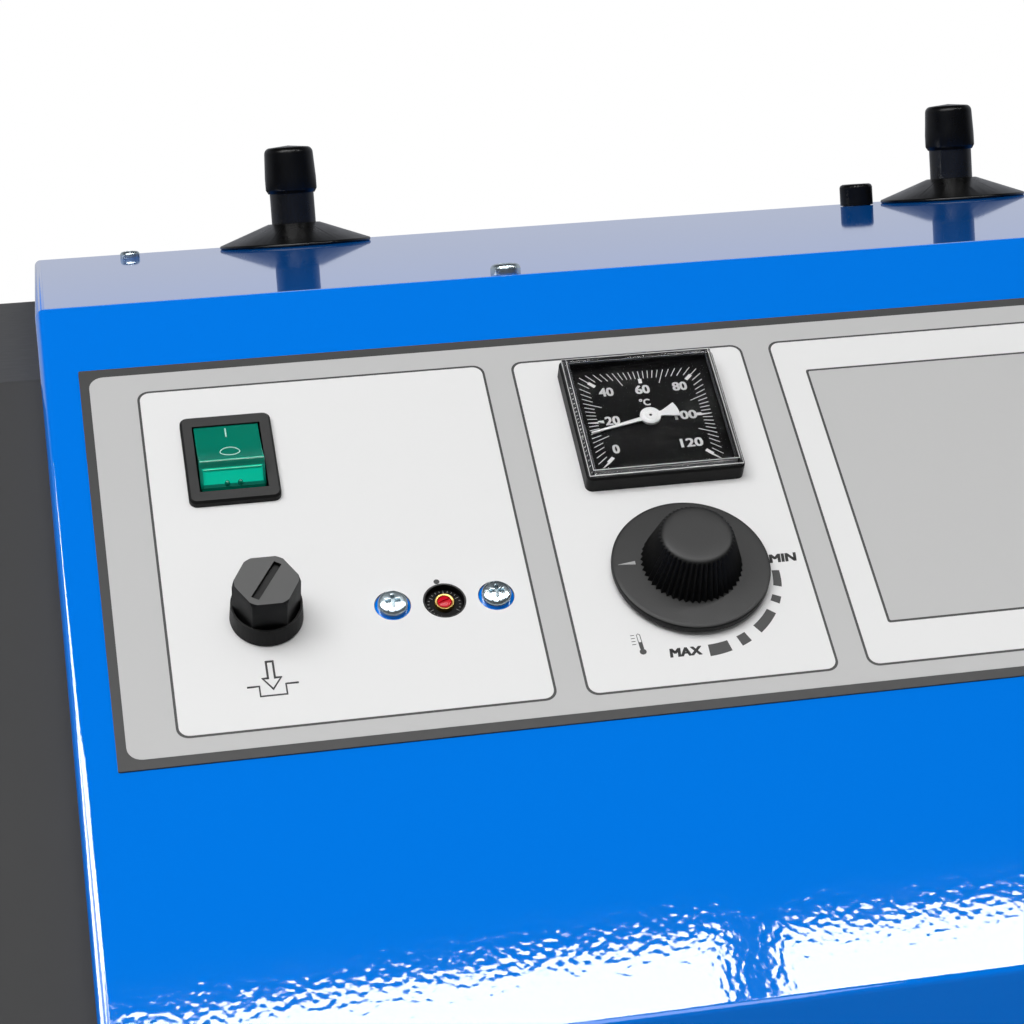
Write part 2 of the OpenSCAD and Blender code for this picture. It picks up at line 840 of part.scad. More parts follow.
// Clear cover with bevelled edges and a catch at its upper side, seated on the case's rim
module thermometer_lens() {
    lens_w = gauge_w - 2 * gauge_lens_inset;
    lens_h = gauge_h - gauge_rim_h;
    bevel = [1.1, 1.2];
    wall = 1;
    color([0.9, 0.95, 1, 0.35])
        on_label(gauge_x, gauge_s)
            translate([0, 0, gauge_rim_h])
                union() {
                    difference() {
                        hull() {
                            translate([-lens_w / 2, -lens_w / 2, 0]) cube([lens_w, lens_w, lens_h - bevel[1]]);
                            translate([-lens_w / 2 + bevel[0], -lens_w / 2 + bevel[0], 0])
                                cube([lens_w - 2 * bevel[0], lens_w - 2 * bevel[0], lens_h]);
                        }
                        translate([-lens_w / 2 + gauge_wall, -lens_w / 2 + gauge_wall, -over])
                            cube([lens_w - 2 * gauge_wall, lens_w - 2 * gauge_wall, lens_h - wall + over]);
                    }
                    translate([-gauge_lens_tab[0] / 2, lens_w / 2 - gauge_lens_tab[1] - fit, 0]) cube(gauge_lens_tab);
                }
}

// Round section with a flat on its lower side
module flatted_disc(d, flat) {
    difference() {
        circle(d / 2);
        translate([-d, -d - d / 2 + flat]) square([2 * d, d]);
    }
}

// Fluted outline of the grip
module fluted_disc(d) {
    flute = 0.5;
    steps = 6 * grip_flutes;
    polygon([
        for (i = [0:steps - 1])
            let (a = 360 * i / steps) on_arc([0, 0], d / 2 - flute * (1 - cos(grip_flutes * a)) / 2, a)
    ]);
}

// Knob: flat disc with a tapered, fluted grip, bored for its spindle
module thermostat_knob() {
    grip_h = knob_h - knob_gap - knob_disc_h;
    cap_h = 1.4;
    cap_r = grip_top_d / 2 - 0.6;
    index_w = 0.5;
    index_depth = 0.6;
    knob_index = 5;
    color(black)
        on_label(knob_x, row_s - knob_rise)
            translate([0, 0, knob_gap])
                difference() {
                    union() {
                        rotate_extrude()
                            polygon([
                                [0, 0], [knob_d / 2 - knob_edge[0], 0], [knob_d / 2, knob_edge[0]],
                                [knob_d / 2, knob_disc_h - knob_edge[0] - knob_edge[1]],
                                [knob_d / 2 - knob_edge[0], knob_disc_h - knob_edge[1]],
                                [grip_d / 2, knob_disc_h], [0, knob_disc_h]
                            ]);
                        translate([0, 0, knob_disc_h - knob_edge[1]])
                            linear_extrude(grip_h - cap_h + knob_edge[1], scale = grip_top_d / grip_d)
                                fluted_disc(grip_d);
                        translate([0, 0, knob_disc_h + grip_h - cap_h])
                            rotate_extrude()
                                polygon([
                                    [0, -over], [cap_r, -over], [cap_r, 0],
                                    for (a = [0:20:80]) on_arc([cap_r - cap_h, 0], cap_h, a), [0, cap_h]
                                ]);
                    }
                    translate([0, 0, -over]) cylinder(h = nut_h + over, d = nut_d + 2 * knob_gap);
                    translate([-knob_d / 2 + 1.5, -index_w / 2, knob_disc_h - index_depth])
                        cube([knob_index, index_w, knob_disc_h]);
                    translate([0, 0, -over])
                        linear_extrude(spindle_top - knob_gap + over + slip)
                            flatted_disc(spindle_d + 2 * fit, spindle_flat);
                }
}

// Spindle of the boiler thermostat, held in the knob
module knob_spindle() {
    color(zinc)
        on_label(knob_x, row_s - knob_rise)
            union() {
                translate([0, 0, nut_h]) linear_extrude(spindle_top - nut_h) flatted_disc(spindle_d, spindle_flat);
                translate([0, 0, spindle_foot]) cylinder(h = nut_h - spindle_foot, d = spindle_d);
            }
}

// Boiler thermostat behind the knob
module boiler_thermostat() {
    color(pale) on_label(knob_x, row_s - knob_rise) thermostat_body(nut_h, spindle_d + 2 * fit);
}

// Thin nut of the boiler thermostat, hidden in the knob
module thermostat_nut() {
    color(zinc)
        on_label(knob_x, row_s - knob_rise)
            difference() {
                cylinder(h = nut_h - 2 * slip, d = nut_d, $fn = 6);
                translate([0, 0, -over]) cylinder(h = nut_h + 2 * over, d = bush_d + 2 * fit);
            }
}

// Half inch pipe of the cooling loop, from the vessel up through the hood
module cooling_pipe() {
    top = hood_h + pipe_rise - pipe_cap_roof;
    color("#2a2a2a")
        translate([pipe_x, pipe_y, 0])
            difference() {
                cylinder(h = top, d = pipe_d);
                translate([0, 0, -over]) cylinder(h = top + 2 * over, d = pipe_d - 2 * pipe_wall);
            }
}

module cooling_pipe_right() {
    cooling_pipe();
}

module cooling_pipe_left() {
    mirror([1, 0, 0]) cooling_pipe();
}

// Conical rosette round the pipe, resting on the hood
module rosette() {
    wall = 1.6;
    collar = pipe_d / 2 + slip;
    rim_r = 0.9;
    color(black)
        on_top(pipe_x, pipe_back)
            rotate_extrude()
                polygon([
                    [collar, rosette_h - 2 * wall], [rosette_d / 2 - 2 * rim_r, 0],
                    for (a = [-90:30:90]) on_arc([rosette_d / 2 - rim_r, rim_r], rim_r, a),
                    [collar + wall, rosette_h], [collar, rosette_h]
                ]);
}

module rosette_right() {
    rosette();
}

module rosette_left() {
    mirror([1, 0, 0]) rosette();
}

// Soft cap pushed over the end of the pipe
module pipe_cap() {
    r = pipe_d / 2 + pipe_cap_wall;
    top_r = 3;
    flare = 0.6;
    curl = [1.2, 2];
    dome = 0.8;
    color(black)
        on_top(pipe_x, pipe_back)
            translate([0, 0, pipe_rise - pipe_cap_h])
                difference() {
                    rotate_extrude()
                        polygon([
                            [0, 0], [r - curl[0], 0], [r, curl[1]], [r, pipe_cap_h / 3],
                            for (a = [0:15:75]) on_arc([r - top_r - flare, pipe_cap_h - top_r - dome], top_r, a),
                            [0, pipe_cap_h]
                        ]);
                    translate([0, 0, -over]) cylinder(h = pipe_cap_h - pipe_cap_roof + over, d = pipe_d + 2 * fit);
                }
}

module pipe_cap_right() {
    pipe_cap();
}

module pipe_cap_left() {
    mirror([1, 0, 0]) pipe_cap();
}

// Sensor well, a tube welded into the vessel's top plate
module sensor_well() {
    color(steel)
        translate([well_x, pipe_y, 0])
            difference() {
                cylinder(h = hood_h + slip, d = well_d);
                translate([0, 0, well_floor]) cylinder(h = hood_h, d = well_d - 2 * well_wall);
            }
}

// Plug in the mouth of the sensor well
module sensor_plug() {
    stem_d = well_d - 2 * well_wall - 2 * fit;
    stem_h = 12;
    color(black)
        on_top(well_x, pipe_back)
            translate([0, 0, slip])
                union() {
                    rotate_extrude()
                        polygon([
                            [0, 0], [plug_d / 2, 0], [plug_d / 2, plug_h - 1.5], [plug_d / 2 - 0.5, plug_h - 0.5],
                            [plug_d / 2 - 1.5, plug_h], [0, plug_h]
                        ]);
                    translate([0, 0, -stem_h]) cylinder(h = stem_h + over, d = stem_d);
                }
}

hood_cover();
fascia_label();
side_casing_left();
side_casing_right();
rear_panel();
boiler_top_plate();
insulation_mat();
bracket_front_left();
bracket_front_right();
bracket_rear_left();
bracket_rear_right();
hood_screws_front();
hood_screws_rear();
switch_housing();
switch_terminals();
switch_rocker();
reset_cap();
reset_thermostat();
flue_thermostat();
flue_dial();
flue_screws();
thermometer_case();
thermometer_dial();
thermometer_pointer();
thermometer_lens();
thermostat_knob();
knob_spindle();
boiler_thermostat();
thermostat_nut();
cooling_pipe_left();
cooling_pipe_right();
rosette_left();
rosette_right();
pipe_cap_left();
pipe_cap_right();
sensor_well();
sensor_plug();
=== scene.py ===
# %% [markdown]
# # The control panel hood of a wood gasification boiler
# The object is a folded sheet hood, powder coated in a glossy blue, with a printed label and five
# instruments on its sloped front, and two capped pipe ends on its flat top. The solids come from the
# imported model, and this script gives them their finishes and replaces the ones whose looks need more
# detail than a solid carries. Every size is in metres, and lengths written in millimetres are
# multiplied by MM.

# %% Load the fixed frame
import json
import math

import bmesh
import bpy
from mathutils import Matrix, Vector


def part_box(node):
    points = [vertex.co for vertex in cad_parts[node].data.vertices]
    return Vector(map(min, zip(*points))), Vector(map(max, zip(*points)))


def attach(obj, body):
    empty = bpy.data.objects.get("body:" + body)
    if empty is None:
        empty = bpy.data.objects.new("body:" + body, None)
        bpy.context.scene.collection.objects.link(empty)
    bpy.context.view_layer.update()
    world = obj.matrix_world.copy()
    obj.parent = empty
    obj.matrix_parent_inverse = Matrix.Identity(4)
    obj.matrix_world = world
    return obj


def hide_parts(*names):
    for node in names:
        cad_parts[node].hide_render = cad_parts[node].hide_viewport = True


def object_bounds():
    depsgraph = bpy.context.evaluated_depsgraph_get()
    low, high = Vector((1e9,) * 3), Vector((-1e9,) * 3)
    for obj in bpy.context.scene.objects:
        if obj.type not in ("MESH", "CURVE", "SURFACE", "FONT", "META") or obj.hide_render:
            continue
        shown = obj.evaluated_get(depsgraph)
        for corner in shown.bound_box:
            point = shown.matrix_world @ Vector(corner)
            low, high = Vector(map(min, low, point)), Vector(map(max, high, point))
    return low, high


MM = 0.001
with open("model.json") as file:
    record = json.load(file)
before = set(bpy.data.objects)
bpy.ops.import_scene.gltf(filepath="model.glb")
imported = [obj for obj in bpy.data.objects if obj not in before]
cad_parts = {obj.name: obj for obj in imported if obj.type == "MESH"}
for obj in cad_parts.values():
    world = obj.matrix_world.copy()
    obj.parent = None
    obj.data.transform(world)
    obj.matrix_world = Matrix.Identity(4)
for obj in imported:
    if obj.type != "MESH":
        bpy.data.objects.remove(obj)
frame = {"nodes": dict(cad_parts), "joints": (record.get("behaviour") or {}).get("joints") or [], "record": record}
cad_low, cad_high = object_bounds()
print("solids:", len(frame["nodes"]), "box", [round(c, 4) for c in (*cad_low, *cad_high)])

# %% [markdown]
# ## The panel's own directions
# The instruments sit on a slope, so they are easiest to model lying flat and then to lay on the panel
# in one move. The knob's axis in the record is the panel's outward direction, and the label's box gives
# the place of its upper left corner. From those comes one matrix: X runs along the panel, Y up it and Z
# out of it. X starts a little right of the label's left edge, because the print was measured from there.

# %% The matrix that lays a piece on the panel
out = next(Vector(j["axis"]) for j in frame["joints"] if j["name"] == "knob_turn").normalized()
along = Vector((1, 0, 0))
up = out.cross(along)
label_low, label_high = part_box("fascia_label")
LABEL_T, DATUM = 0.5 * MM, 1.5 * MM
corner = Vector((label_low.x + DATUM, label_high.y - LABEL_T * abs(out.y), label_high.z))
PANEL = Matrix.Translation(corner) @ Matrix((along, up, out)).transposed().to_4x4()
OFF_PANEL = PANEL.inverted()


def panel_box(node):
    """Lowest and highest corner of a solid, measured along the panel's directions."""
    seen = [OFF_PANEL @ v.co for v in frame["nodes"][node].data.vertices]
    low = Vector([min(p[i] for p in seen) for i in range(3)])
    high = Vector([max(p[i] for p in seen) for i in range(3)])
    return low, high


film_low, film_high = panel_box("fascia_label")
label_w, label_h = ((film_high - film_low) / MM).xy
print("panel leans", round(math.degrees(math.acos(out.z)), 2), "degrees")

# %% [markdown]
# ## Camera
# A long lens from the front left, a little above the hood, with the left half of the panel filling the
# frame. The lens's centre lies right of the middle of the view, which is a small shift to the left.

# %% Camera
camera_data = bpy.data.cameras.new("camera")
camera_data.sensor_width = 36
camera_data.lens = 94.17
camera_data.shift_x = -0.0859
camera_data.clip_start = 0.05
camera = bpy.data.objects.new("camera", camera_data)
bpy.context.scene.collection.objects.link(camera)
stand = Vector((-0.2899, -0.9844, 0.2387))
right = Vector((0.97661, -0.2052, -0.06427))
down = Vector((-0.08945, -0.1159, -0.98922))
forward = Vector((0.19554, 0.97183, -0.13154))
turn = Matrix((right, -down, -forward)).transposed().to_4x4()
camera.matrix_world = Matrix.Translation(stand) @ turn
bpy.context.scene.camera = camera
bpy.context.scene.view_settings.view_transform = "Standard"
print("camera at", [round(c, 3) for c in camera.location])

# %% [markdown]
# ## Colours and nodes
# Colours are written as the hex values that a paint shop uses, and turned to linear light by one
# function. A second function adds a node with its settings, its values and its links.


# %% Helpers for colours and nodes
def colour(hex_code):
    """Linear colour of an sRGB hex code."""
    parts = [int(hex_code[i : i + 2], 16) / 255 for i in (1, 3, 5)]
    linear = [p / 12.92 if p <= 0.04045 else ((p + 0.055) / 1.055) ** 2.4 for p in parts]
    return (*linear, 1)


def blank(owner):
    """Switches on the nodes of a material or world and clears them."""
    owner.use_nodes = True
    owner.node_tree.nodes.clear()
    return owner


def add(owner, kind, values=None, **settings):
    """Adds a node: settings are its properties, values its sockets' values or the sockets linked to them."""
    node = owner.node_tree.nodes.new(kind)
    for key, value in settings.items():
        setattr(node, key, value)
    for key, value in (values or {}).items():
        if isinstance(value, bpy.types.NodeSocket):
            owner.node_tree.links.new(value, node.inputs[key])
        else:
            node.inputs[key].default_value = value
    return node


def link(material, source, node, socket):
    material.node_tree.links.new(source, node.inputs[socket])


# The Mix node has a set of sockets for each kind of value: these are its factor, the two numbers and
# the two colours that go in, and the colour that comes out
FACTOR, NUMBER_A, NUMBER_B, TONE_A, TONE_B, TONE = 0, 2, 3, 6, 7, 2
BY_SLOT = {}


def finish(name, slot, base, roughness, **values):
    """Starts a material for one of the record's slots: a Principled shader, by default a plastic's."""
    material = blank(bpy.data.materials.new(name))
    sockets = {"Base Color": colour(base), "Roughness": roughness, "IOR": 1.5}
    sockets.update({key.replace("_", " "): value for key, value in values.items()})
    shader = add(material, "ShaderNodeBsdfPrincipled", sockets)
    add(material, "ShaderNodeOutputMaterial", {"Surface": shader.outputs["BSDF"]})
    material["slot"] = slot
    BY_SLOT.setdefault(slot, material)
    return material, shader


# %% [markdown]
# ## Surfaces with a grain
# Most of the finishes here share two things: a relief that the light catches, and a slight change of
# gloss from place to place. Both come from noise on object coordinates, whose scale is one over the
# size of the grain. A few are paler: the dial plate where a cloth has wiped it, and the black mouldings
# on their upper faces, which is painted light.


# %% Helpers for relief, gloss, and paler tones of wear and of painted light
# How many times wider than the grain the patches of more and less gloss are
PATCH = 12


def grain(material, shader, size, height, strength=1.0, gloss=None, detail=2.0):
    """Relief of a grain size and a height in metres, with roughness between two values in wider patches."""
    where = add(material, "ShaderNodeTexCoord").outputs["Object"]
    fine = {"Vector": where, "Scale": 1 / size, "Detail": detail, "Roughness": 0.5}
    noise = add(material, "ShaderNodeTexNoise", fine).outputs["Fac"]
    bump = add(material, "ShaderNodeBump", {"Strength": strength, "Distance": height, "Height": noise})
    link(material, bump.outputs["Normal"], shader, "Normal")
    if gloss:
        wide = {"Vector": where, "Scale": 1 / (PATCH * size), "Detail": 3.0}
        noise = add(material, "ShaderNodeTexNoise", wide).outputs["Fac"]
        span = {"Value": noise, "From Min": 0.3, "From Max": 0.7, "To Min": gloss[0], "To Max": gloss[1]}
        spread = add(material, "ShaderNodeMapRange", span)
        link(material, spread.outputs["Result"], shader, "Roughness")
    return where, bump


def outward(material):
    """How far a face looks out of the panel: 0 for the sides of a piece, 1 for its upper faces."""
    facing = {0: add(material, "ShaderNodeTexCoord").outputs["Normal"], 1: out}
    share = add(material, "ShaderNodeVectorMath", facing, operation="DOT_PRODUCT").outputs["Value"]
    span = {"Value": share, "From Min": 0.75, "From Max": 1.0}
    return add(material, "ShaderNodeMapRange", span).outputs["Result"]


def paler(material, shader, share, base, pale):
    """Lets a base colour go over into a paler one, by a socket that gives the share."""
    tones = {FACTOR: share, TONE_A: colour(base), TONE_B: colour(pale)}
    mixed = add(material, "ShaderNodeMix", tones, data_type="RGBA")
    link(material, mixed.outputs[TONE], shader, "Base Color")


# %% [markdown]
# ## Studio
# A white backdrop seen by the camera, by mirrors and through glass, and a darker studio above it and
# in front, so that the sloped panel and the black mouldings stay deep in colour. One large softbox
# above and in front lights the object, and one behind it the hood's top. Narrow strips beside it only
# show in gloss: the panel mirrors them as a white band along its lower fold, and the fold at the left
# end as a white line.

# %% World
world = blank(bpy.data.worlds.new("studio"))
bpy.context.scene.world = world
ray = add(world, "ShaderNodeLightPath").outputs
direction = add(world, "ShaderNodeTexCoord").outputs["Generated"]
parts = add(world, "ShaderNodeSeparateXYZ", {"Vector": direction}).outputs
# Mirrors see the backdrop fade out upwards and towards the front
upwards = {"Value": parts["Z"], "From Min": 0.35, "From Max": 0.8, "To Min": 0.55, "To Max": 0.03}
above = add(world, "ShaderNodeMapRange", upwards, interpolation_type="SMOOTHSTEP").outputs["Result"]
backwards = {"Value": parts["Y"], "From Min": -0.3, "From Max": 0.3, "To Min": 0.15, "To Max": 1.0}
behind = add(world, "ShaderNodeMapRange", backwards, interpolation_type="SMOOTHSTEP").outputs["Result"]
mirror_level = add(world, "ShaderNodeMath", {0: above, 1: behind}, operation="MULTIPLY").outputs[0]
# What glass lets through from a lit surface isn't the backdrop, so only straight sight counts
bounces = {0: ray["Glossy Depth"], 1: ray["Diffuse Depth"]}
returned = add(world, "ShaderNodeMath", bounces, operation="MAXIMUM").outputs[0]
through = {0: ray["Is Transmission Ray"], 1: returned}
straight = add(world, "ShaderNodeMath", through, operation="SUBTRACT", use_clamp=True).outputs[0]
sight = {0: ray["Is Camera Ray"], 1: straight}
seen_plain = add(world, "ShaderNodeMath", sight, operation="MAXIMUM").outputs[0]
in_mirrors = {0: ray["Is Glossy Ray"], 1: ray["Glossy Depth"]}
glossy = add(world, "ShaderNodeMath", in_mirrors, operation="MAXIMUM", use_clamp=True).outputs[0]
FILL_LIGHT = 0.28
lit = {FACTOR: glossy, NUMBER_A: FILL_LIGHT, NUMBER_B: mirror_level}
seen_lit = add(world, "ShaderNodeMix", lit, data_type="FLOAT").outputs[0]
levels = {FACTOR: seen_plain, NUMBER_A: seen_lit, NUMBER_B: 1.0}
level = add(world, "ShaderNodeMix", levels, data_type="FLOAT").outputs[0]
# Mirrored in the paint, the backdrop looks a little cooler, as it does by daylight
tones = {FACTOR: glossy, TONE_A: (1, 1, 1, 1), TONE_B: (0.93, 0.96, 1.04, 1)}
tone = add(world, "ShaderNodeMix", tones, data_type="RGBA").outputs[TONE]
sky = add(world, "ShaderNodeBackground", {"Color": tone, "Strength": level})
add(world, "ShaderNodeOutputWorld", {"Surface": sky.outputs["Background"]})


# %% Softboxes
def softbox(name, place, target, size, power, turn=0):
    """A lamp at a place that shines at a target, turned by some degrees round its own axis."""
    data = bpy.data.lights.new(name, "AREA")
    data.shape = "RECTANGLE"
    data.size, data.size_y = size
    data.energy = power
    lamp = bpy.data.objects.new(name, data)
    lamp.location = place
    lamp.rotation_euler = (Vector(target) - Vector(place)).to_track_quat("-Z", "Y").to_euler()
    lamp.rotation_euler.rotate_axis("Z", math.radians(turn))
    bpy.context.scene.collection.objects.link(lamp)
    return lamp


softbox("key", (-0.55, -1.3, 1.5), (0, -0.3, 0.15), (1.9, 1.0), 29)
# Light from behind, for the hood's top: it passes over the slope
rear = softbox("rear", (0.3, 1.6, 1.3), (0, 0.1, 0.2), (1.6, 0.8), 24)
rear.visible_glossy = False
strip_left = softbox("strip_left", (-0.89, -0.867, 1.55), (-0.89, -0.852, 0), (2.22, 0.18), 30, 1.9)
strip_right = softbox("strip_right", (0.97, -0.835, 1.55), (0.97, -0.82, 0), (1.42, 0.18), 19)
strip_side = softbox("strip_side", (-1.05, -0.38, 1.06), (-0.26, -0.5, 0.16), (0.32, 2.0), 47, -20)
for strip in (strip_left, strip_right, strip_side):
    strip.visible_diffuse = False
# Only the hood is to mirror the strip at its side, so it gets a collection that the hood joins later
fold_gloss = bpy.data.collections.new("pieces that mirror the side strip")
strip_side.light_linking.receiver_collection = fold_gloss
print("lamps:", len(bpy.data.lights))

# %% [markdown]
# The floor is pale and takes the object's shadow. Away from the object it fades into the backdrop, so
# that no edge shows behind the pipes.

# %% Floor
bpy.ops.mesh.primitive_grid_add(x_subdivisions=2, y_subdivisions=2, size=12, location=(0, 0, cad_low.z))
floor = bpy.context.object
floor.name = "floor"
bpy.ops.object.transform_apply(location=True)
pale = blank(bpy.data.materials.new("pale floor"))
spot = add(pale, "ShaderNodeTexCoord").outputs["Object"]
reach = add(pale, "ShaderNodeVectorMath", {0: spot}, operation="LENGTH").outputs["Value"]
rim = {"Value": reach, "From Min": 0.6, "From Max": 1.6}
fade = add(pale, "ShaderNodeMapRange", rim, interpolation_type="SMOOTHSTEP").outputs["Result"]
in_view = add(pale, "ShaderNodeLightPath").outputs["Is Camera Ray"]
bounced = add(pale, "ShaderNodeMath", {0: 1.0, 1: in_view}, operation="SUBTRACT").outputs[0]
tones = {FACTOR: bounced, TONE_A: colour("#f8f8f8"), TONE_B: colour("#707070")}
tone = add(pale, "ShaderNodeMix", tones, data_type="RGBA").outputs[TONE]
matt = add(pale, "ShaderNodeBsdfDiffuse", {"Color": tone}).outputs[0]
glow = add(pale, "ShaderNodeEmission", {"Strength": 1.0}).outputs[0]
share = add(pale, "ShaderNodeMath", {0: fade, 1: in_view}, operation="MULTIPLY").outputs[0]
both = add(pale, "ShaderNodeMixShader", {0: share, 1: matt, 2: glow})
add(pale, "ShaderNodeOutputMaterial", {"Surface": both.outputs[0]})
floor.data.materials.append(pale)

# %% [markdown]
# ## Sheet metal finishes
# The hood is steel sheet with a glossy powder coat. The powder melts in the oven and flows into a
# skin with slight waves a few millimetres wide, which a coater calls orange peel. The side casings have
# the same coat in dark grey with a fine matt texture.

# %% Powder coats
# Baked polyester powder: deep colour under a clear gloss, wavy enough to break the edge of what it
# mirrors into beads. A level sheet lets the melt flow out, so the top is smoother than the slope.
blue_coat, shader = finish("blue gloss powder coat", "blue_powder_coat", "#017ae9", 0.03)
wave = grain(blue_coat, shader, 1.9 * MM, 0.018 * MM, 0.6, detail=0.5)[1]
facing = add(blue_coat, "ShaderNodeTexCoord").outputs["Normal"]
level_part = add(blue_coat, "ShaderNodeSeparateXYZ", {"Vector": facing}).outputs["Z"]
calm = {"Value": level_part, "From Min": 0.75, "From Max": 0.97, "To Min": 1.0, "To Max": 0.12}
link(blue_coat, add(blue_coat, "ShaderNodeMapRange", calm).outputs["Result"], wave, "Strength")
# The same powder with a matt texture: it mirrors nothing, and its grain breaks up the light
dark_coat, shader = finish(
    "dark grey textured powder coat", "dark_powder_coat", "#444444", 0.6, Specular_IOR_Level=0.06
)
grain(dark_coat, shader, 0.5 * MM, 0.02 * MM, 0.4, (0.58, 0.64))
print("coats:", blue_coat.name, "and", dark_coat.name)

# %% [markdown]
# ## Other finishes
# Moulded plastics, rubber, plated screws, the printed label and what sits under the hood. Each starts
# from what the real one is.

# %% Plastics and rubber
# Satin black ABS, spark-eroded mould: soft highlights and a fine grain, and a paler tone painted on the
# faces that look out of the panel: painted light, as from above
black_plastic, shader = finish(
    "black moulded ABS", "black_moulding", "#101010", 0.44, Specular_IOR_Level=0.19
)
grain(black_plastic, shader, 0.6 * MM, 0.03 * MM, 1.0, (0.4, 0.48))
paler(black_plastic, shader, outward(black_plastic), "#101010", "#323232")
# Dark grey phenolic cap, with a paler tone painted on its top: painted light, as from above
cap_plastic, shader = finish(
    "dark grey moulded phenolic", "reset_moulding", "#0e0e0e", 0.5, Specular_IOR_Level=0.2
)
where = grain(cap_plastic, shader, 0.6 * MM, 0.02 * MM, 0.5, (0.44, 0.58))[0]
here = add(cap_plastic, "ShaderNodeVectorMath", {0: where, 1: out}, operation="DOT_PRODUCT")
cap_height = max(v.co.dot(out) for v in frame["nodes"]["reset_cap"].data.vertices)
top = {"From Min": cap_height - 0.8 * MM, "From Max": cap_height - 0.5 * MM}
on_top = add(cap_plastic, "ShaderNodeMapRange", {"Value": here.outputs["Value"], **top}).outputs["Result"]
# Painted light: the cap's upper top faces go over into a paler grey
upper_and_top = {0: outward(cap_plastic), 1: on_top}
painted_top_light = add(cap_plastic, "ShaderNodeMath", upper_and_top, operation="MULTIPLY").outputs[0]
paler(cap_plastic, shader, painted_top_light, "#0e0e0e", "#585858")
# Cream phenolic of the hidden thermostats
pale_plastic, shader = finish("pale moulded phenolic", "pale_moulding", "#cfc8b6", 0.5)
grain(pale_plastic, shader, 0.8 * MM, 0.03 * MM, 0.5, (0.45, 0.6))
# Push-on caps of soft PVC: black, with the broad sheen of rubber
soft_plastic, shader = finish("soft black PVC", "soft_black", "#080808", 0.3, Specular_IOR_Level=0.2)
grain(soft_plastic, shader, 0.9 * MM, 0.01 * MM, 0.4, (0.26, 0.34))
# Translucent green polycarbonate of the rocker, whose lamp is off
green_plastic, shader = finish(
    "translucent green polycarbonate", "green_translucent", "#017c66", 0.16, IOR=1.58,
    Subsurface_Weight=0.35, Subsurface_Scale=0.004, Subsurface_Radius=(0.3, 1.0, 0.8),
)
grain(green_plastic, shader, 1.5 * MM, 0.01 * MM, 0.3, (0.12, 0.2))
# Clear acrylic cover
clear_plastic, shader = finish(
    "clear acrylic", "clear_cover", "#ffffff", 0.02, IOR=1.49, Transmission_Weight=1.0
)
grain(clear_plastic, shader, 6 * MM, 0.002 * MM, 0.2)
# Dial plate, matt printed black, with a faint haze where a cloth has wiped it
dial_black, shader = finish("matt black dial plate", "dial_black", "#070707", 0.6, Specular_IOR_Level=0.1)
where = grain(dial_black, shader, 0.6 * MM, 0.01 * MM, 0.4, (0.55, 0.66))[0]
streaks = {"Vector": where, "Scale": 1 / (14 * MM), "Detail": 7.0, "Roughness": 0.62}
wiped = add(dial_black, "ShaderNodeTexNoise", streaks).outputs["Fac"]
haze = add(dial_black, "ShaderNodeMapRange", {"Value": wiped, "From Min": 0.52, "From Max": 0.72})
paler(dial_black, shader, haze.outputs["Result"], "#070707", "#262626")
# White pointer, stamped aluminium with a matt white lacquer
white_lacquer, shader = finish("matt white lacquer", "pointer_white", "#e6e6e6", 0.5, Specular_IOR_Level=0.2)
grain(white_lacquer, shader, 0.6 * MM, 0.01 * MM, 0.3, (0.45, 0.55))

# %% Metals and wool
# Zinc-plated steel screws and brackets: bright, with a slightly uneven plating
zinc_plate, shader = finish("bright zinc plated steel", "zinc_plated_steel", "#bccbd2", 0.26, Metallic=1.0)
grain(zinc_plate, shader, 1.6 * MM, 0.01 * MM, 0.3, (0.22, 0.31))
# Brass terminals and the ring of the flue thermostat
brass, shader = finish("brass", "brass", "#b89a58", 0.28, Metallic=1.0)
grain(brass, shader, 0.8 * MM, 0.01 * MM, 0.4, (0.22, 0.36))
# Boiler plate as rolled: grey mill scale, mottled
boiler_plate, shader = finish("rolled boiler steel", "boiler_steel", "#6d7074", 0.5, Metallic=0.7)
grain(boiler_plate, shader, 3 * MM, 0.05 * MM, 0.6, (0.4, 0.65), 5.0)
# Black coated pipe: thin paint over drawn steel
pipe_paint, shader = finish("black lacquered steel pipe", "pipe_black", "#101010", 0.3)
grain(pipe_paint, shader, 1.5 * MM, 0.02 * MM, 0.5, (0.24, 0.38))
# Mineral wool: matt yellow-brown fibres
wool, shader = finish("mineral wool", "mineral_wool", "#b9a258", 0.95, Sheen_Weight=0.2)
grain(wool, shader, 1.6 * MM, 1.2 * MM, 0.9, None, 6.0)

# %% [markdown]
# ## Solids that keep their shape
# A solid comes in as loose triangles with a corner of its own at every meeting, so round faces show
# their facets. A merged copy, smoothed only across shallow angles, shows them as round, and it
# replaces the solid. Hidden solids keep their mesh and get only their finish.

# %% Helper for merged copies
BODY_OF = {node: body for body, nodes in frame["record"]["behaviour"]["bodies"].items() for node in nodes}


def alone(piece):
    """Selects one object and nothing else."""
    bpy.ops.object.select_all(action="DESELECT")
    piece.select_set(True)
    bpy.context.view_layer.objects.active = piece


def dress(piece, material, body, *replaced):
    """Gives a piece its finish and its body, and hides the solids it stands for."""
    piece.data.materials.clear()
    piece.data.materials.append(material)
    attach(piece, body)
    if replaced:
        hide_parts(*replaced)


def smooth(piece, angle=32):
    """Smooths the shading across angles up to the given one and keeps wide faces flat."""
    alone(piece)
    bpy.ops.object.shade_smooth_by_angle(angle=math.radians(angle))
    flat = piece.modifiers.new("flat faces", "WEIGHTED_NORMAL")
    flat.keep_sharp = True
    bpy.ops.object.modifier_apply(modifier=flat.name)
    return piece


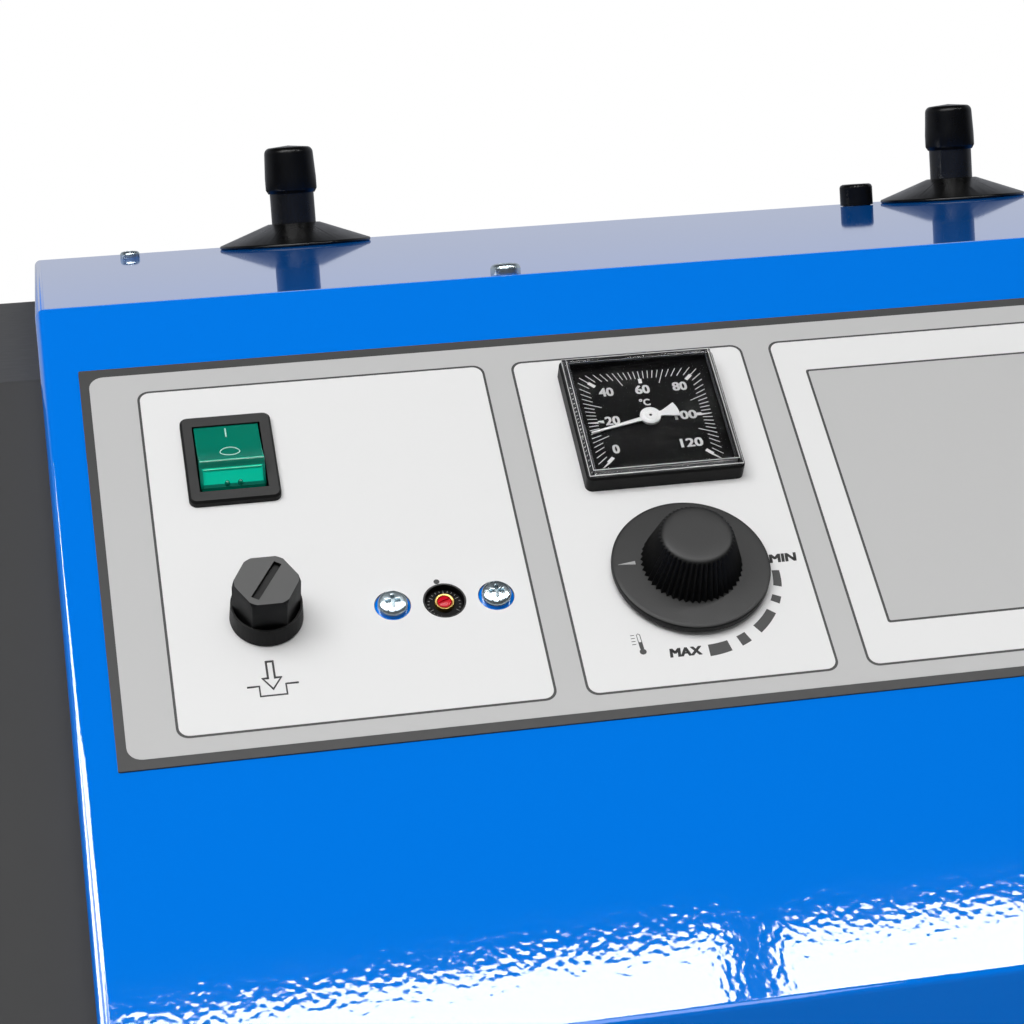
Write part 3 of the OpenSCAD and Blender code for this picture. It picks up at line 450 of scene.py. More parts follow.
def merged_copy(node, name, material, edge):
    """A copy of a solid with its triangles merged, its sharp edges broken and its round faces smooth."""
    alone(frame["nodes"][node])
    bpy.ops.object.duplicate()
    piece = bpy.context.object
    piece.name = name
    piece.parent = None
    for key in list(piece.keys()):
        del piece[key]
    bpy.ops.object.mode_set(mode="EDIT")
    bpy.ops.mesh.select_all(action="SELECT")
    bpy.ops.mesh.remove_doubles(threshold=1e-6)
    bpy.ops.mesh.dissolve_limited(angle_limit=math.radians(0.5))
    bpy.ops.object.mode_set(mode="OBJECT")
    if edge:
        broken = piece.modifiers.new("broken edges", "BEVEL")
        broken.width, broken.segments, broken.angle_limit = edge, 2, math.radians(50)
        broken.use_clamp_overlap = True
        bpy.ops.object.modifier_apply(modifier=broken.name)
    smooth(piece)
    dress(piece, material, BODY_OF[node], node)
    return piece


# %% Copies of the visible solids
shown = [
    ("hood_cover", "hood", blue_coat, 0.0),
    ("side_casing_left", "casing_left", dark_coat, 0.5 * MM),
    ("side_casing_right", "casing_right", dark_coat, 0.5 * MM),
    ("switch_housing", "switch_bezel", black_plastic, 0.12 * MM),
    ("thermometer_case", "thermometer_tray", black_plastic, 0.12 * MM),
    ("thermometer_lens", "thermometer_cover", clear_plastic, 0.2 * MM),
    ("thermometer_pointer", "pointer", white_lacquer, 0.0),
    ("reset_cap", "reset_screw_cap", cap_plastic, 0.25 * MM),
    ("flue_screws", "flue_screw_heads", zinc_plate, 0.1 * MM),
    ("hood_screws_front", "front_screw_heads", zinc_plate, 0.1 * MM),
    ("hood_screws_rear", "rear_screw_heads", zinc_plate, 0.1 * MM),
    ("cooling_pipe_left", "pipe_left", pipe_paint, 0.0),
    ("cooling_pipe_right", "pipe_right", pipe_paint, 0.0),
    ("pipe_cap_left", "cap_left", soft_plastic, 0.0),
    ("pipe_cap_right", "cap_right", soft_plastic, 0.0),
    ("rosette_left", "rosette_disc_left", soft_plastic, 0.0),
    ("rosette_right", "rosette_disc_right", soft_plastic, 0.0),
    ("sensor_plug", "well_plug", soft_plastic, 0.0),
]
for node, name, material, edge in shown:
    piece = merged_copy(node, name, material, edge)
    print(name, len(piece.data.polygons), "faces")
fold_gloss.objects.link(bpy.data.objects["hood"])

# %% [markdown]
# ## Flat work on the panel
# The label is one sheet of film with layers of ink: a grey border, a paler field, four light boxes with
# thin outlines and a grey display field. Each layer is a thin slab, made of a cube whose upright edges
# are bevelled into round corners, and each lies a few hundredths of a millimetre above the last.


# %% Helpers for slabs on the panel
def choose(piece, test, kind="EDGE"):
    """Selects in edit mode the edges whose two ends, or the faces whose middle and normal, pass the test."""
    bpy.ops.mesh.select_mode(type=kind)
    bpy.ops.mesh.select_all(action="DESELECT")
    shape = bmesh.from_edit_mesh(piece.data)
    for part in shape.edges if kind == "EDGE" else shape.faces:
        if kind == "EDGE":
            part.select_set(test(part.verts[0].co, part.verts[1].co))
        else:
            part.select_set(test(part.calc_center_median(), part.normal))
    bmesh.update_edit_mesh(piece.data)


CORNER_STEPS = 6


def slab(name, sides, heights, corner=0.0):
    """A slab from its left, right, upper and lower side and its two heights, all in mm on the label."""
    left, right, upper, lower = (side * MM for side in sides)
    low, high = (height * MM for height in heights)
    bpy.ops.mesh.primitive_cube_add(size=1)
    piece = bpy.context.object
    piece.name = name
    bpy.ops.object.mode_set(mode="EDIT")
    bpy.ops.mesh.select_all(action="SELECT")
    bpy.ops.transform.resize(value=(right - left, lower - upper, high - low))
    bpy.ops.transform.translate(value=((left + right) / 2, -(upper + lower) / 2, (low + high) / 2))
    if corner:
        choose(piece, lambda a, b: abs(a.z - b.z) > (high - low) / 2)
        bpy.ops.mesh.bevel(offset=corner * MM, segments=CORNER_STEPS, affect="EDGES")
    bpy.ops.object.mode_set(mode="OBJECT")
    return piece


def carve(piece, tool):
    """Takes a tool's shape out of a piece, and the tool away."""
    cut = piece.modifiers.new("cut", "BOOLEAN")
    cut.operation, cut.object, cut.solver = "DIFFERENCE", tool, "EXACT"
    alone(piece)
    bpy.ops.object.modifier_apply(modifier=cut.name)
    bpy.data.objects.remove(tool)


def drill(piece, *holes):
    """Cuts round holes through a flat piece: each is an x, a distance down and a diameter in mm."""
    for x, down, wide in holes:
        spot = (x * MM, -down * MM, 0)
        bpy.ops.mesh.primitive_cylinder_add(vertices=64, radius=wide / 2 * MM, depth=0.02, location=spot)
        carve(piece, bpy.context.object)


def lay(piece):
    """Lays a piece that was modelled flat on the panel, and leaves its object at the origin."""
    alone(piece)
    piece.matrix_world = PANEL
    bpy.ops.object.transform_apply(location=True, rotation=True, scale=True)
    return piece


def middle(node):
    """Middle of a solid on the label: x and distance down, in mm."""
    low, high = panel_box(node)
    return (low.x + high.x) / 2 / MM, -(low.y + high.y) / 2 / MM


# %% Inks of the label
def ink(name, hex_code):
    """Screen printing ink under a satin film: flat colour, with the film's slight unevenness."""
    material, shader = finish(name, "printed_label", hex_code, 0.45, Specular_IOR_Level=0.2)
    grain(material, shader, 0.5 * MM, 0.006 * MM, 0.3, (0.4, 0.5))
    return material


ink("satin printed polyester film", "#404040")
field_ink = ink("pale grey ink under satin film", "#bfbfbf")
box_ink = ink("light grey ink under satin film", "#e6e6e6")
line_ink = ink("dark grey ink under satin film", "#454545")

# %% Holes of the label
# Diameters of a screw's head, of the window it stands in and of the dial's hole
SCREW_HEAD, WINDOW, FLUE_HOLE = 8.0, 9.8, 11.6
flue_x, flue_down = middle("flue_dial")
screws_low, screws_high = panel_box("flue_screws")
pitch = (screws_high.x - screws_low.x) / MM - SCREW_HEAD
flue_holes = [(flue_x, flue_down, FLUE_HOLE)]
flue_holes += [(flue_x + side * pitch / 2, flue_down, WINDOW) for side in (-1, 1)]
# Half the width and half the height of the opening for the switch
OPENING_X, OPENING_DOWN = 9.8, 12.2
switch_x, switch_down = middle("switch_rocker")
switch_opening = (
    switch_x - OPENING_X, switch_x + OPENING_X, switch_down - OPENING_DOWN, switch_down + OPENING_DOWN
)
print("label", round(label_w, 1), "x", round(label_h, 1), "mm; screws", round(pitch, 1), "mm apart")

# %% Print of the label
BOX_TOP, BOX_FOOT, OUTLINE = 9.7, 128.9, 0.7
boxes = {
    "switch_box": (13.9, 112.6),
    "thermostat_box": (120.4, 189.2),
    "display_box": (197.1, 353.5),
    "spare_box": (361.4, 547.9),
}
printed = [(slab("label_field", (1.1, label_w - 4.1, 3, label_h - 3), (0, 0.04), 4), field_ink)]
for name, (left, right) in boxes.items():
    printed.append((slab(name + "_outline", (left, right, BOX_TOP, BOX_FOOT), (0, 0.07), 3.3), line_ink))
    inner = (left + OUTLINE, right - OUTLINE, BOX_TOP + OUTLINE, BOX_FOOT - OUTLINE)
    printed.append((slab(name, inner, (0, 0.1), 2.8), box_ink))
printed.append((slab("display_outline", (206.1, 344.5, 21.8, 115.2), (0, 0.13), 0.8), line_ink))
printed.append((slab("display_field", (206.8, 343.8, 22.5, 114.5), (0, 0.16), 0.5), field_ink))
for piece, material in printed:
    if piece.name in ("label_field", "switch_box", "switch_box_outline"):
        drill(piece, *flue_holes)
        carve(piece, slab("opening", switch_opening, (-10, 10)))
    dress(lay(piece), material, "hood_assembly")
print("printed layers:", len(printed))

# %% [markdown]
# ## Signs on the label
# The signs are generic ones: an arrow into a notch for the reset button, MIN and MAX with a band that
# widens between them, and a small thermometer. Flat signs are filled curves, thin lines are curves with
# a round section half sunk in the film, and both become meshes before they are laid on the panel.


# %% Helpers for signs
def oval(x, down, wide, tall, count):
    """Points of an oval in mm on the label, from its middle and its two radii."""
    angles = [i / count * math.tau for i in range(count)]
    return [(x + wide * math.cos(a), down + tall * math.sin(a)) for a in angles]


def bar(x, down, angle, start, end, wide):
    """Corners of a bar that points away from a middle, at an angle anticlockwise from the right."""
    c, s = math.cos(angle), math.sin(angle)
    corners = [(start, wide / 2), (end, wide / 2), (end, -wide / 2), (start, -wide / 2)]
    return [(x + r * c - o * s, down - (r * s + o * c)) for r, o in corners]


def as_mesh(name, curve, height):
    """Turns a curve into a mesh at a height in metres."""
    piece = bpy.data.objects.new(name, curve)
    bpy.context.scene.collection.objects.link(piece)
    piece.location.z = height
    alone(piece)
    bpy.ops.object.convert(target="MESH")
    bpy.ops.object.transform_apply(location=True)
    piece = bpy.context.object
    piece.name = name
    return piece


def flat_sign(name, shapes, low, high):
    """Filled shapes, each a list of points in mm on the label, between two heights."""
    curve = bpy.data.curves.new(name, "CURVE")
    curve.dimensions, curve.fill_mode, curve.extrude = "2D", "BOTH", (high - low) / 2 * MM
    for points in shapes:
        line = curve.splines.new("POLY")
        line.points.add(len(points) - 1)
        for point, (x, down) in zip(line.points, points):
            point.co = (x * MM, -down * MM, 0, 1)
        line.use_cyclic_u = True
    return as_mesh(name, curve, (low + high) / 2 * MM)


def thin_line(name, lines, wide, high, closed=False):
    """Thin lines of ink through points in mm on the label; a point may carry its own height."""
    curve = bpy.data.curves.new(name, "CURVE")
    curve.dimensions, curve.bevel_depth, curve.bevel_resolution = "3D", wide / 2 * MM, 1
    for points in lines:
        line = curve.splines.new("POLY")
        line.points.add(len(points) - 1)
        for point, place in zip(line.points, points):
            point.co = (place[0] * MM, -place[1] * MM, (place[2] if len(place) > 2 else high) * MM, 1)
        line.use_cyclic_u = closed
    return as_mesh(name, curve, 0)


def join(name, pieces):
    """Joins pieces of one finish into one object."""
    alone(pieces[0])
    for piece in pieces[1:]:
        piece.select_set(True)
    bpy.ops.object.join()
    pieces[0].name = name
    return pieces[0]


# Thickness of a word before it is scaled, and the shifts of the copies that thicken its strokes
WORD_T = 0.001
SHIFTS = ((-0.5, -0.2), (0.5, -0.2), (-0.5, 0.2), (0.5, 0.2))


def lettering(name, text, centre, size, low, high, lean=0.0, bold=0.2):
    """A word or number of a given width and height in mm, centred on a point; bold is its added stroke."""
    bpy.ops.object.text_add()
    word = bpy.context.object
    word.data.body, word.data.extrude, word.data.shear = text, WORD_T / 2, lean
    word.data.resolution_u = 3
    bpy.ops.object.convert(target="MESH")
    word = bpy.context.object
    word.name = name
    corners = [v.co for v in word.data.vertices]
    low_x, high_x = min(c.x for c in corners), max(c.x for c in corners)
    low_y, high_y = min(c.y for c in corners), max(c.y for c in corners)
    wide, tall = ((side - bold * share) * MM for side, share in zip(size, (1, 0.4)))
    scale = Vector((wide / (high_x - low_x), tall / (high_y - low_y), (high - low) * MM / WORD_T))
    word.scale = scale
    word.location.x = centre[0] * MM - scale.x * (low_x + high_x) / 2
    word.location.y = -centre[1] * MM - scale.y * (low_y + high_y) / 2
    word.location.z = (low + high) / 2 * MM
    bpy.ops.object.transform_apply(location=True, rotation=True, scale=True)
    copies = [word]
    for step_x, step_y in SHIFTS:
        alone(word)
        bpy.ops.object.duplicate()
        copy = bpy.context.object
        copy.location = (step_x * bold * MM, step_y * bold * MM, 0)
        bpy.ops.object.transform_apply(location=True)
        copies.append(copy)
    return join(name, copies)


# %% Sign of the reset button
# Heights of the ink of a flat sign, and the height of a thin line's middle
INK, INK_LINE = (0.1, 0.14), 0.1
arrow = [
    (38.8, 107.5), (40.6, 107.5), (40.6, 112.8), (42.2, 112.8), (39.8, 116.3), (37.4, 112.8), (38.8, 112.8),
]
notch = [(33.1, 115.1), (36.3, 115.1), (36.3, 118.3), (43.2, 118.3), (43.2, 115.0), (46.5, 115.0)]
sign_lines = [thin_line("arrow", [arrow], 0.8, INK_LINE, True), thin_line("notch", [notch], 0.6, INK_LINE)]
dress(lay(join("reset_sign", sign_lines)), line_ink, "hood_assembly")

# %% Band from MIN to MAX round the knob
knob_x, knob_down = middle("thermostat_knob")
# Inner and outer radius of the band at 0 degrees, and what each grows by per degree
INNER, INNER_GROWTH, OUTER, OUTER_GROWTH = 22.5, 0.026, 24.5, 0.046


def band_part(start, end, steps=8):
    """One dash of the band: angles in degrees clockwise from the right; it widens as it goes."""
    angles = [start + (end - start) * i / steps for i in range(steps + 1)]
    inner = [(INNER + INNER_GROWTH * a, math.radians(a)) for a in angles]
    outer = [(OUTER + OUTER_GROWTH * a, math.radians(a)) for a in reversed(angles)]
    return [(knob_x + r * math.cos(a), knob_down + r * math.sin(a)) for r, a in inner + outer]


dashes = [(5.5, 18.5), (26.3, 31.8), (39.6, 56.8), (65.0, 71.5), (78.3, 91.2)]
words = [
    flat_sign("band", [band_part(*dash) for dash in dashes], *INK),
    lettering("minimum", "MIN", (182.7, 89.7), (7.9, 2.9), *INK, lean=0.1, bold=0.42),
    lettering("maximum", "MAX", (149.1, 117.9), (9.0, 2.9), *INK, lean=0.1, bold=0.42),
]
dress(lay(join("knob_scale", words)), line_ink, "hood_assembly")

# %% Signs of the boiler's temperature and of the flue dial
stem = [(137.25, 115.6), (137.05, 110.9), (137.5, 110.5), (137.95, 110.9), (138.15, 115.6)]
filled = [(137.3, 115.6), (137.25, 113.3), (138.0, 113.3), (138.1, 115.6)]
ticks = [[(135.3, down), (136.4, down)] for down in (110.9, 111.9, 112.9, 113.9)]
thermometer_sign = [
    thin_line("stem", [stem], 0.22, INK_LINE),
    thin_line("steam", ticks, 0.22, INK_LINE),
    flat_sign("mercury", [filled], *INK),
    flat_sign("bulb", [oval(137.75, 116.5, 0.95, 0.95, 12)], *INK),
]
dress(lay(join("temperature_sign", thermometer_sign)), line_ink, "hood_assembly")
dress(lay(flat_sign("flue_mark", [oval(87.0, 86.6, 0.8, 0.8, 16)], *INK)), line_ink, "hood_assembly")

# %% [markdown]
# ## Thermometer
# The dial is a printed plate under a clear cover. Its scale runs three quarters of the way round, and
# the marks end on a square as the case does. A thin mark stands at every second degree, a long one at
# each odd ten and a bold block under each number.

# %% Scale of the thermometer
gauge_x, gauge_down = middle("thermometer_dial")
dial_face = panel_box("thermometer_dial")[1].z / MM
DIAL_INK = (dial_face, dial_face + 0.05)
print("dial face", round(dial_face, 2), "mm above the label")
# Angle of the reading 0, what a degree of temperature turns by, and the end of the marks: square to
# the dial's sides, and at its corners
START, PER_READING, MARK_END, CORNER_END = 225, 2.25, 18.0, 24.4


def radial(reading, inner, outer, wide):
    """A mark along a radius: inner and outer are distances measured square to the dial's sides."""
    angle = math.radians(START - PER_READING * reading)
    stretch = 1 / max(abs(math.cos(angle)), abs(math.sin(angle)))
    return bar(gauge_x, gauge_down, angle, inner * stretch, min(outer * stretch, CORNER_END), wide)


marks = []
for reading in range(0, 122, 2):
    if reading % 20 == 0:
        marks.append(radial(reading, 15.0, MARK_END, 0.2))
        marks.append(radial(reading, 13.4, 15.1, 1.0))
    else:
        marks.append(radial(reading, 13.0 if reading % 10 == 0 else 15.2, MARK_END, 0.2))
scale = [flat_sign("marks", marks, *DIAL_INK)]
# Middles of the numbers, from the middle of the dial
numbers = {
    "0": (-12.0, 10.4), "20": (-10.9, -0.2), "40": (-10.6, -11.1), "60": (0.0, -11.0),
    "80": (11.0, -11.1), "100": (10.4, -0.1), "120": (9.9, 10.3),
}
for text, (x, down) in numbers.items():
    place, size = (gauge_x + x, gauge_down + down), (2.25 * len(text) - 0.2, 3.2)
    scale.append(lettering("number_" + text, text, place, size, *DIAL_INK, bold=0.32))
scale.append(lettering("celsius", "\u00b0C", (gauge_x - 0.3, gauge_down - 6.1), (3.1, 2.6), *DIAL_INK))
dress(lay(join("thermometer_scale", scale)), white_lacquer, "hood_assembly")

# %% Painted highlights on the edges of the cover
# Painted highlights: pale lines along the bevel and sides of the clear cover, for the light that gathers there
COVER_BEVEL, COVER_DROP, COVER_SIDE = 1.1, 1.2, 0.05
cover_low, cover_high = (end / MM for end in panel_box("thermometer_lens"))


def cover_square(inset, height):
    """Corners of a square on the cover, a distance in from its sides."""
    left, right = cover_low.x + inset, cover_high.x - inset
    upper, lower = -cover_high.y + inset, -cover_low.y - inset
    return [(left, upper, height), (right, upper, height), (right, lower, height), (left, lower, height)]


squares = [cover_square(COVER_BEVEL, cover_high.z), cover_square(COVER_SIDE, cover_high.z - COVER_DROP)]
cover_highlights = thin_line("cover_highlights", squares, 0.3, 0, True)
highlight_acrylic, shader = finish("painted highlight on clear acrylic", "clear_cover", "#dcdcdc", 0.2, IOR=1.49)
grain(highlight_acrylic, shader, 1.5 * MM, 0.01 * MM, 0.3)
dress(lay(cover_highlights), highlight_acrylic, "hood_assembly")

# %% [markdown]
# ## Knob
# One moulding: a flat disc with a soft rim, and a tapered grip with sharp flutes that run out against
# a smooth top. The grip starts as a cylinder of many sides. Every second upright edge is pushed inwards,
# which makes the flutes, and the upper face is inset and raised for the smooth top.


# %% Helper for turned pieces
def turned(name, outline, centre, steps=96):
    """A turned piece on the panel: an outline of radius and height in mm, spun round its own axis."""
    bpy.ops.mesh.primitive_plane_add(size=MM)
    piece = bpy.context.object
    piece.name = name
    bpy.ops.object.mode_set(mode="EDIT")
    bpy.ops.mesh.select_mode(type="VERT")
    bpy.ops.mesh.select_all(action="SELECT")
    bpy.ops.mesh.merge(type="CENTER")
    bpy.ops.transform.translate(value=(outline[0][0] * MM, 0, outline[0][1] * MM))
    for (r0, z0), (r1, z1) in zip(outline, outline[1:]):
        step = ((r1 - r0) * MM, 0, (z1 - z0) * MM)
        bpy.ops.mesh.extrude_vertices_move(TRANSFORM_OT_translate={"value": step})
    bpy.ops.mesh.select_all(action="SELECT")
    bpy.ops.mesh.spin(steps=steps, angle=math.tau, center=(0, 0, 0), axis=(0, 0, 1))
    bpy.ops.mesh.select_all(action="SELECT")
    bpy.ops.mesh.remove_doubles(threshold=1e-6)
    bpy.ops.mesh.normals_make_consistent(inside=False)
    bpy.ops.transform.translate(value=(centre[0] * MM, -centre[1] * MM, 0))
    bpy.ops.object.mode_set(mode="OBJECT")
    return piece


# %% Knob
# Thickness of the disc, how deep the grip stands in it, and the grip's radius at its foot and its top
DISC_T, GRIP_SUNK, GRIP_R, GRIP_TOP_R = 2.8, 0.4, 14.15, 10.35
# Number of flutes, and the radius of their ground as a share of the grip's
FLUTES, FLUTE_FOOT = 48, 0.93
knob_low, knob_high = panel_box("thermostat_knob")
knob_r = (knob_high.x - knob_low.x) / 2 / MM
knob_foot, knob_top = knob_low.z / MM, knob_high.z / MM
disc_top = knob_foot + DISC_T
disc = turned("knob_disc", [
    (13.0, knob_foot + 0.4), (knob_r - 0.6, knob_foot), (knob_r - 0.15, knob_foot + 0.15),
    (knob_r, knob_foot + 0.6), (knob_r, knob_foot + 2.0), (knob_r - 0.15, knob_foot + 2.3),
    (knob_r - 0.55, knob_foot + 2.5), (knob_r - 1.1, knob_foot + 2.56),
    (14.6, disc_top), (13.0, disc_top + 0.05),
], (knob_x, knob_down), 128)
shoulder = knob_top - 0.9
bpy.ops.mesh.primitive_cylinder_add(
    vertices=2 * FLUTES, radius=GRIP_R * MM, depth=(shoulder - disc_top + GRIP_SUNK) * MM,
    location=(0, 0, (shoulder + disc_top - GRIP_SUNK) / 2 * MM),
)
grip = bpy.context.object
bpy.ops.object.transform_apply(location=True)


def fluted(a, b):
    """Whether an edge of the grip stands upright and is one of every second that a flute sinks."""
    place = round(math.atan2(a.y, a.x) / math.tau * 2 * FLUTES)
    return abs(a.z - b.z) > MM and place % 2 == 0


def upper(spot, normal):
    return normal.z > 0.9


bpy.ops.object.mode_set(mode="EDIT")
choose(grip, upper, "FACE")
bpy.ops.transform.resize(value=(GRIP_TOP_R / GRIP_R, GRIP_TOP_R / GRIP_R, 1))
choose(grip, fluted)
bpy.ops.transform.resize(value=(FLUTE_FOOT, FLUTE_FOOT, 1), center_override=(0, 0, 0))
# The smooth top rises in rings: each has its radius and what it adds in height
choose(grip, upper, "FACE")
for radius, rise in ((9.6, 0.35), (9.2, 0.25), (8.6, 0.15), (7.5, 0.1), (5.0, 0.05)):
    bpy.ops.mesh.extrude_region_move(TRANSFORM_OT_translate={"value": (0, 0, rise * MM)})
    shape = bmesh.from_edit_mesh(grip.data)
    for v in shape.verts:
        if v.select:
            v.co.xy = v.co.xy.normalized() * radius * MM
    bmesh.update_edit_mesh(grip.data)
bpy.ops.mesh.select_all(action="SELECT")
bpy.ops.transform.translate(value=(knob_x * MM, -knob_down * MM, 0))
bpy.ops.object.mode_set(mode="OBJECT")
knob = join("knob", [disc, grip])
smooth(lay(knob), 24)
dress(knob, black_plastic, "knob", "thermostat_knob")

# %% Index of the knob
wedge = [(knob_x - 20.1, knob_down - 1.7), (knob_x - 15.3, knob_down - 2.4), (knob_x - 15.3, knob_down - 1.2)]
index_mark = lay(flat_sign("knob_index", [wedge], disc_top - 0.4, disc_top + 0.06))
# Bare edge of the moulded index: the same plastic, worn pale
worn_plastic, shader = finish("worn black moulded ABS", "black_moulding", "#9a9a9a", 0.5)
grain(worn_plastic, shader, 0.5 * MM, 0.02 * MM, 0.5)
dress(index_mark, worn_plastic, "knob")
print("knob", round(2 * knob_r, 1), "mm wide and", round(knob_top, 1), "mm high")

# %% Hub of the pointer
hub_top = panel_box("thermometer_pointer")[1].z / MM
hub = turned("pointer_hub", [
    (0.45, hub_top - 0.05), (0.45, hub_top + 0.14), (0.55, hub_top + 0.2), (1.3, hub_top + 0.16),
    (1.6, hub_top - 0.05), (1.9, hub_top + 0.16), (2.5, hub_top + 0.2), (2.85, hub_top + 0.05),
    (2.95, hub_top - 0.8),
], (gauge_x, gauge_down), 64)
dress(smooth(lay(hub), 35), white_lacquer, "gauge_pointer")
# The pin takes the dial plate's black: painted shade, for the shade in the hub's hollow round it
outline = [(0, hub_top + 0.06), (0.3, hub_top + 0.05), (0.46, hub_top + 0.01)]
pin = turned("pointer_pin", outline, (gauge_x, gauge_down), 32)
dress(smooth(lay(pin), 40), dial_black, "gauge_pointer")

# %% [markdown]
# ## Rocker
# A translucent rocker with its upper end pressed in. Its raised lower end shows a bright end face,
# because the moulding is thin there and light comes through. The rocker starts as its side outline,
# which is given its width and then softened with a bevel. That bright face is painted light: the end
# faces get a brighter copy of the same plastic's finish.

# %% Rocker
# Half the rocker's width, and its side outline: distances below its middle, with heights
ROCKER_HALF = 8.95
outline = [
    (-11.55, 0.4), (-11.4, 1.5), (-6.0, 1.9), (0.0, 3.4), (5.0, 6.2), (5.9, 6.3), (6.5, 5.4),
    (10.7, 0.6), (10.7, -3.0), (-11.55, -3.0),
]
side_view = [(-(switch_down + down), -height) for down, height in outline]
rocker = flat_sign("rocker", [side_view], -ROCKER_HALF, ROCKER_HALF)
rocker.matrix_world = Matrix(((0, 0, 1, switch_x * MM), (1, 0, 0, 0), (0, 1, 0, 0), (0, 0, 0, 1)))
bpy.ops.object.transform_apply(location=True, rotation=True, scale=True)
bpy.ops.object.mode_set(mode="EDIT")
bpy.ops.mesh.select_all(action="SELECT")
bpy.ops.mesh.remove_doubles(threshold=1e-6)
bpy.ops.mesh.dissolve_limited(angle_limit=math.radians(1))
bpy.ops.mesh.normals_make_consistent(inside=False)
bpy.ops.object.mode_set(mode="OBJECT")
soft_edges = rocker.modifiers.new("soft edges", "BEVEL")
soft_edges.width, soft_edges.segments, soft_edges.angle_limit = 0.35 * MM, 3, math.radians(25)
bpy.ops.object.modifier_apply(modifier=soft_edges.name)


def raised_end(spot, normal):
    """Whether a face is the one at the rocker's raised end that looks down the panel and out of it."""
    return -spot.y / MM > switch_down + 7 and normal.y < -0.5 and normal.z > 0.4


# The raised end face gets a rim: its middle is sunk a little
bpy.ops.object.mode_set(mode="EDIT")
choose(rocker, raised_end, "FACE")
bpy.ops.mesh.inset(thickness=0.85 * MM, depth=-0.2 * MM)
bpy.ops.object.mode_set(mode="OBJECT")
smooth(lay(rocker), 40)
dress(rocker, green_plastic, "rocker", "switch_rocker")
# Painted light: a brighter copy of the same polycarbonate, for light coming through where it is thin
lit_green, shader = finish(
    "translucent green polycarbonate painted as lit through", "green_translucent", "#00dcb6",
    0.2, IOR=1.58, Specular_IOR_Level=0.2,
)
grain(lit_green, shader, 1.5 * MM, 0.01 * MM, 0.3)
rocker.data.materials.append(lit_green)
# The large end faces that look down the panel take the painted light
off_panel_turn = PANEL.to_3x3().inverted()
for face in rocker.data.polygons:
    if (off_panel_turn @ face.normal).y < -0.5 and face.area > 20 * MM * MM:
        face.material_index = 1
print("rocker faces", len(rocker.data.polygons))


# %% Signs on the rocker
def rocker_face(down):
    """Height of the rocker's upper face at a distance below its middle."""
    return 3.4 + (0.25 if down < 0 else 0.56) * down


def end_face(down):
    """Height of the rocker's raised end face at a distance below the rocker's middle."""
    return 5.4 - 1.143 * (down - 6.5)


SIGN_RISE = 0.05
on_ends = ((-9.6, 1.62), (-6.2, 1.88))
on_line = [(switch_x - 0.3, switch_down + down, height + SIGN_RISE) for down, height in on_ends]
off_ring = oval(switch_x, switch_down + 0.9, 2.7, 2.3, 32)
off_ring = [(x, down, rocker_face(down - switch_down) + SIGN_RISE) for x, down in off_ring]
signs = [thin_line("on_mark", [on_line], 0.42, 0), thin_line("off_mark", [off_ring], 0.3, 0, True)]
# White paint pressed into the moulded signs
sign_paint, shader = finish("pale green sign paint", "green_translucent", "#bff0e4", 0.4)
grain(sign_paint, shader, 0.5 * MM, 0.01 * MM, 0.3)
dress(lay(join("rocker_signs", signs)), sign_paint, "rocker")

# %% Painted highlights and bumps of the rocker
# Painted highlights: pale green lines along the moulding's edges, for the light that gathers there
HIGHLIGHT_DOWN = 7.3
highlight_height = end_face(HIGHLIGHT_DOWN) - 0.1
edge_highlight = [(switch_x + x, switch_down + HIGHLIGHT_DOWN, highlight_height) for x in (-7.9, 7.9)]
ridge_highlight = [(switch_x + x, switch_down + 5.5, 6.2) for x in (-8.7, 8.7)]
edges = [thin_line("edge_highlight", [edge_highlight], 0.42, 0), thin_line("ridge_highlight", [ridge_highlight], 0.3, 0)]
highlight_green, shader = finish(
    "painted highlight on translucent polycarbonate", "green_translucent", "#2fcfa8", 0.2, IOR=1.58
)
grain(highlight_green, shader, 1.5 * MM, 0.01 * MM, 0.3)
dress(lay(join("rocker_highlights", edges)), highlight_green, "rocker")
BUMP_DOWN = 9.9
foot = end_face(BUMP_DOWN)
outline = [(0, foot + 0.75), (0.35, foot + 0.68), (0.6, foot + 0.4), (0.68, foot), (0.68, foot - 1.5)]
bumps = [turned("bump", outline, (switch_x + x, switch_down + BUMP_DOWN), 32) for x in (-1.7, 1.9)]
dress(smooth(lay(join("rocker_bumps", bumps)), 40), green_plastic, "rocker")

# %% [markdown]
# ## Flue gas thermostat
# Behind a hole in the label sits a small black dial with a brass ring, and in its middle a slotted
# red tip that a screwdriver turns.

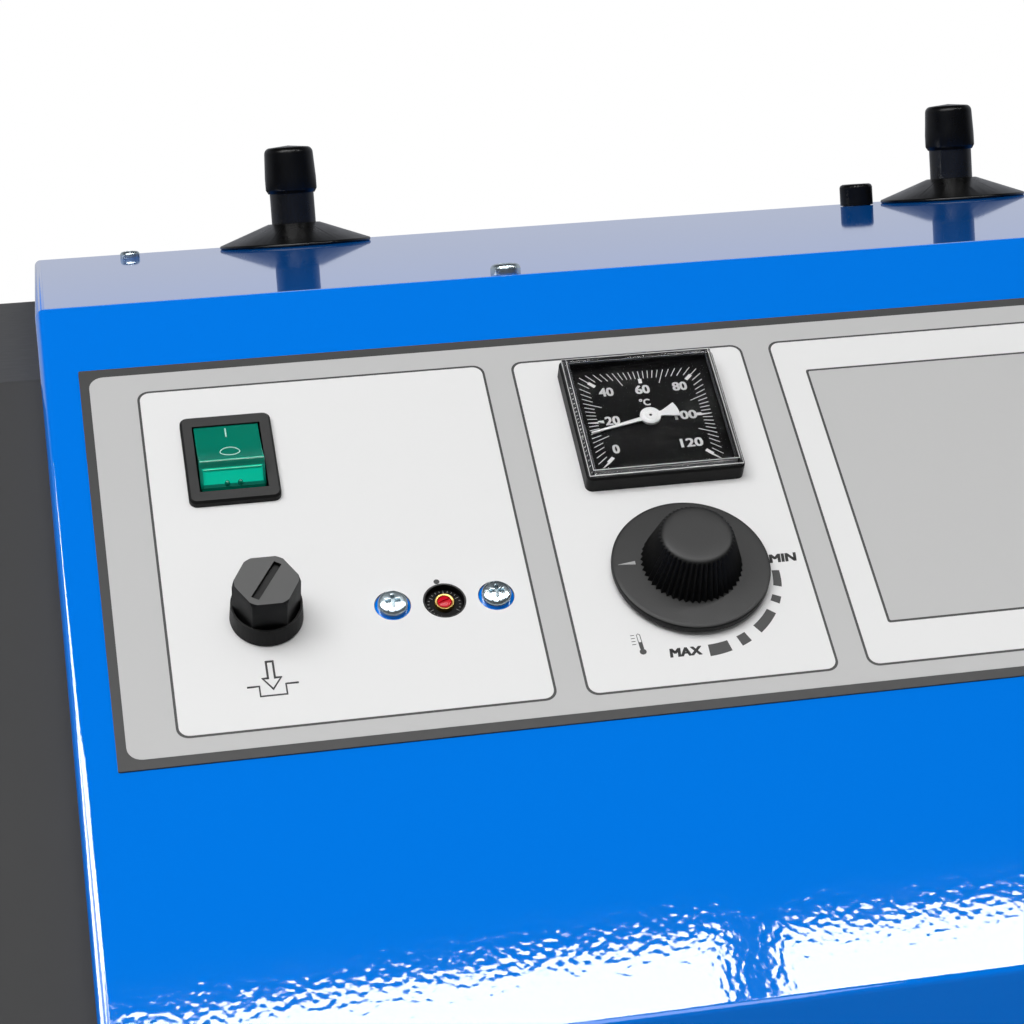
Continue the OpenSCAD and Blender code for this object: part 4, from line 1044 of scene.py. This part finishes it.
# %% Flue dial
dial_r, dial_top = 5.1, -1.5
dial = turned("flue_dial_disc", [
    (0, dial_top), (2.4, dial_top), (3.0, dial_top - 0.1), (4.6, dial_top - 0.15),
    (dial_r, dial_top - 0.3), (dial_r, -4.2),
], (flue_x, flue_down), 64)
dress(smooth(lay(dial), 30), dial_black, "flue_adjuster", "flue_dial")
outline = [(5.25, -3.4), (5.25, -0.1), (5.35, 0.06), (5.7, 0.1), (5.74, 0.0), (5.74, -3.4)]
sleeve = turned("flue_sleeve", outline, (flue_x, flue_down), 64)
dress(smooth(lay(sleeve), 40), black_plastic, "hood_assembly")
outline = [(1.95, -0.6), (2.0, -0.35), (2.2, -0.22), (2.5, -0.25), (2.7, -0.5), (2.75, -1.6)]
ring = turned("flue_ring", outline, (flue_x, flue_down), 64)
dress(smooth(lay(ring), 40), brass, "flue_adjuster")

# %% Slotted tip of the flue dial
outline = [(0, -0.1), (1.0, -0.14), (1.7, -0.35), (1.95, -0.7), (1.97, -1.7)]
tip = turned("flue_tip", outline, (flue_x, flue_down), 64)
slot_sides = (flue_x - 3, flue_x + 3, flue_down - 0.4, flue_down + 0.4)
slot_cut = slab("slot_cut", slot_sides, (-0.6, 0.9))
to_dial = Matrix.Translation((flue_x * MM, -flue_down * MM, 0))
slot_cut.matrix_world = to_dial @ Matrix.Rotation(math.radians(20), 4, "Z") @ to_dial.inverted()
carve(tip, slot_cut)
# Red sealing lacquer over the slotted stem
red_lacquer, shader = finish("red sealing lacquer", "dial_black", "#cc0422", 0.25, Specular_IOR_Level=0.2)
grain(red_lacquer, shader, 0.8 * MM, 0.03 * MM, 0.6)
dress(smooth(lay(tip), 30), red_lacquer, "flue_adjuster")

# %% Marks of the flue dial
# Small grey figures worn to dashes, over five sixths of the round
angles = [i / 24 * math.tau - 0.6 for i in range(20)]
dashes = [bar(flue_x, flue_down, a, 4.0 if i % 4 else 3.5, 4.5, 0.12) for i, a in enumerate(angles)]
worn_ink, shader = finish("worn grey dial ink", "dial_black", "#8a8a8a", 0.5)
grain(worn_ink, shader, 0.5 * MM, 0.01 * MM, 0.3)
flue_scale = flat_sign("flue_scale", dashes, dial_top - 0.16, dial_top - 0.07)
dress(lay(flue_scale), worn_ink, "flue_adjuster")

# %% Finishes of the solids that stay
for part in frame["record"]["subparts"]:
    solid = frame["nodes"][part["node"]]
    solid.data.materials.clear()
    solid.data.materials.append(BY_SLOT[part["material_slot"]])
print("finishes:", sorted(BY_SLOT))
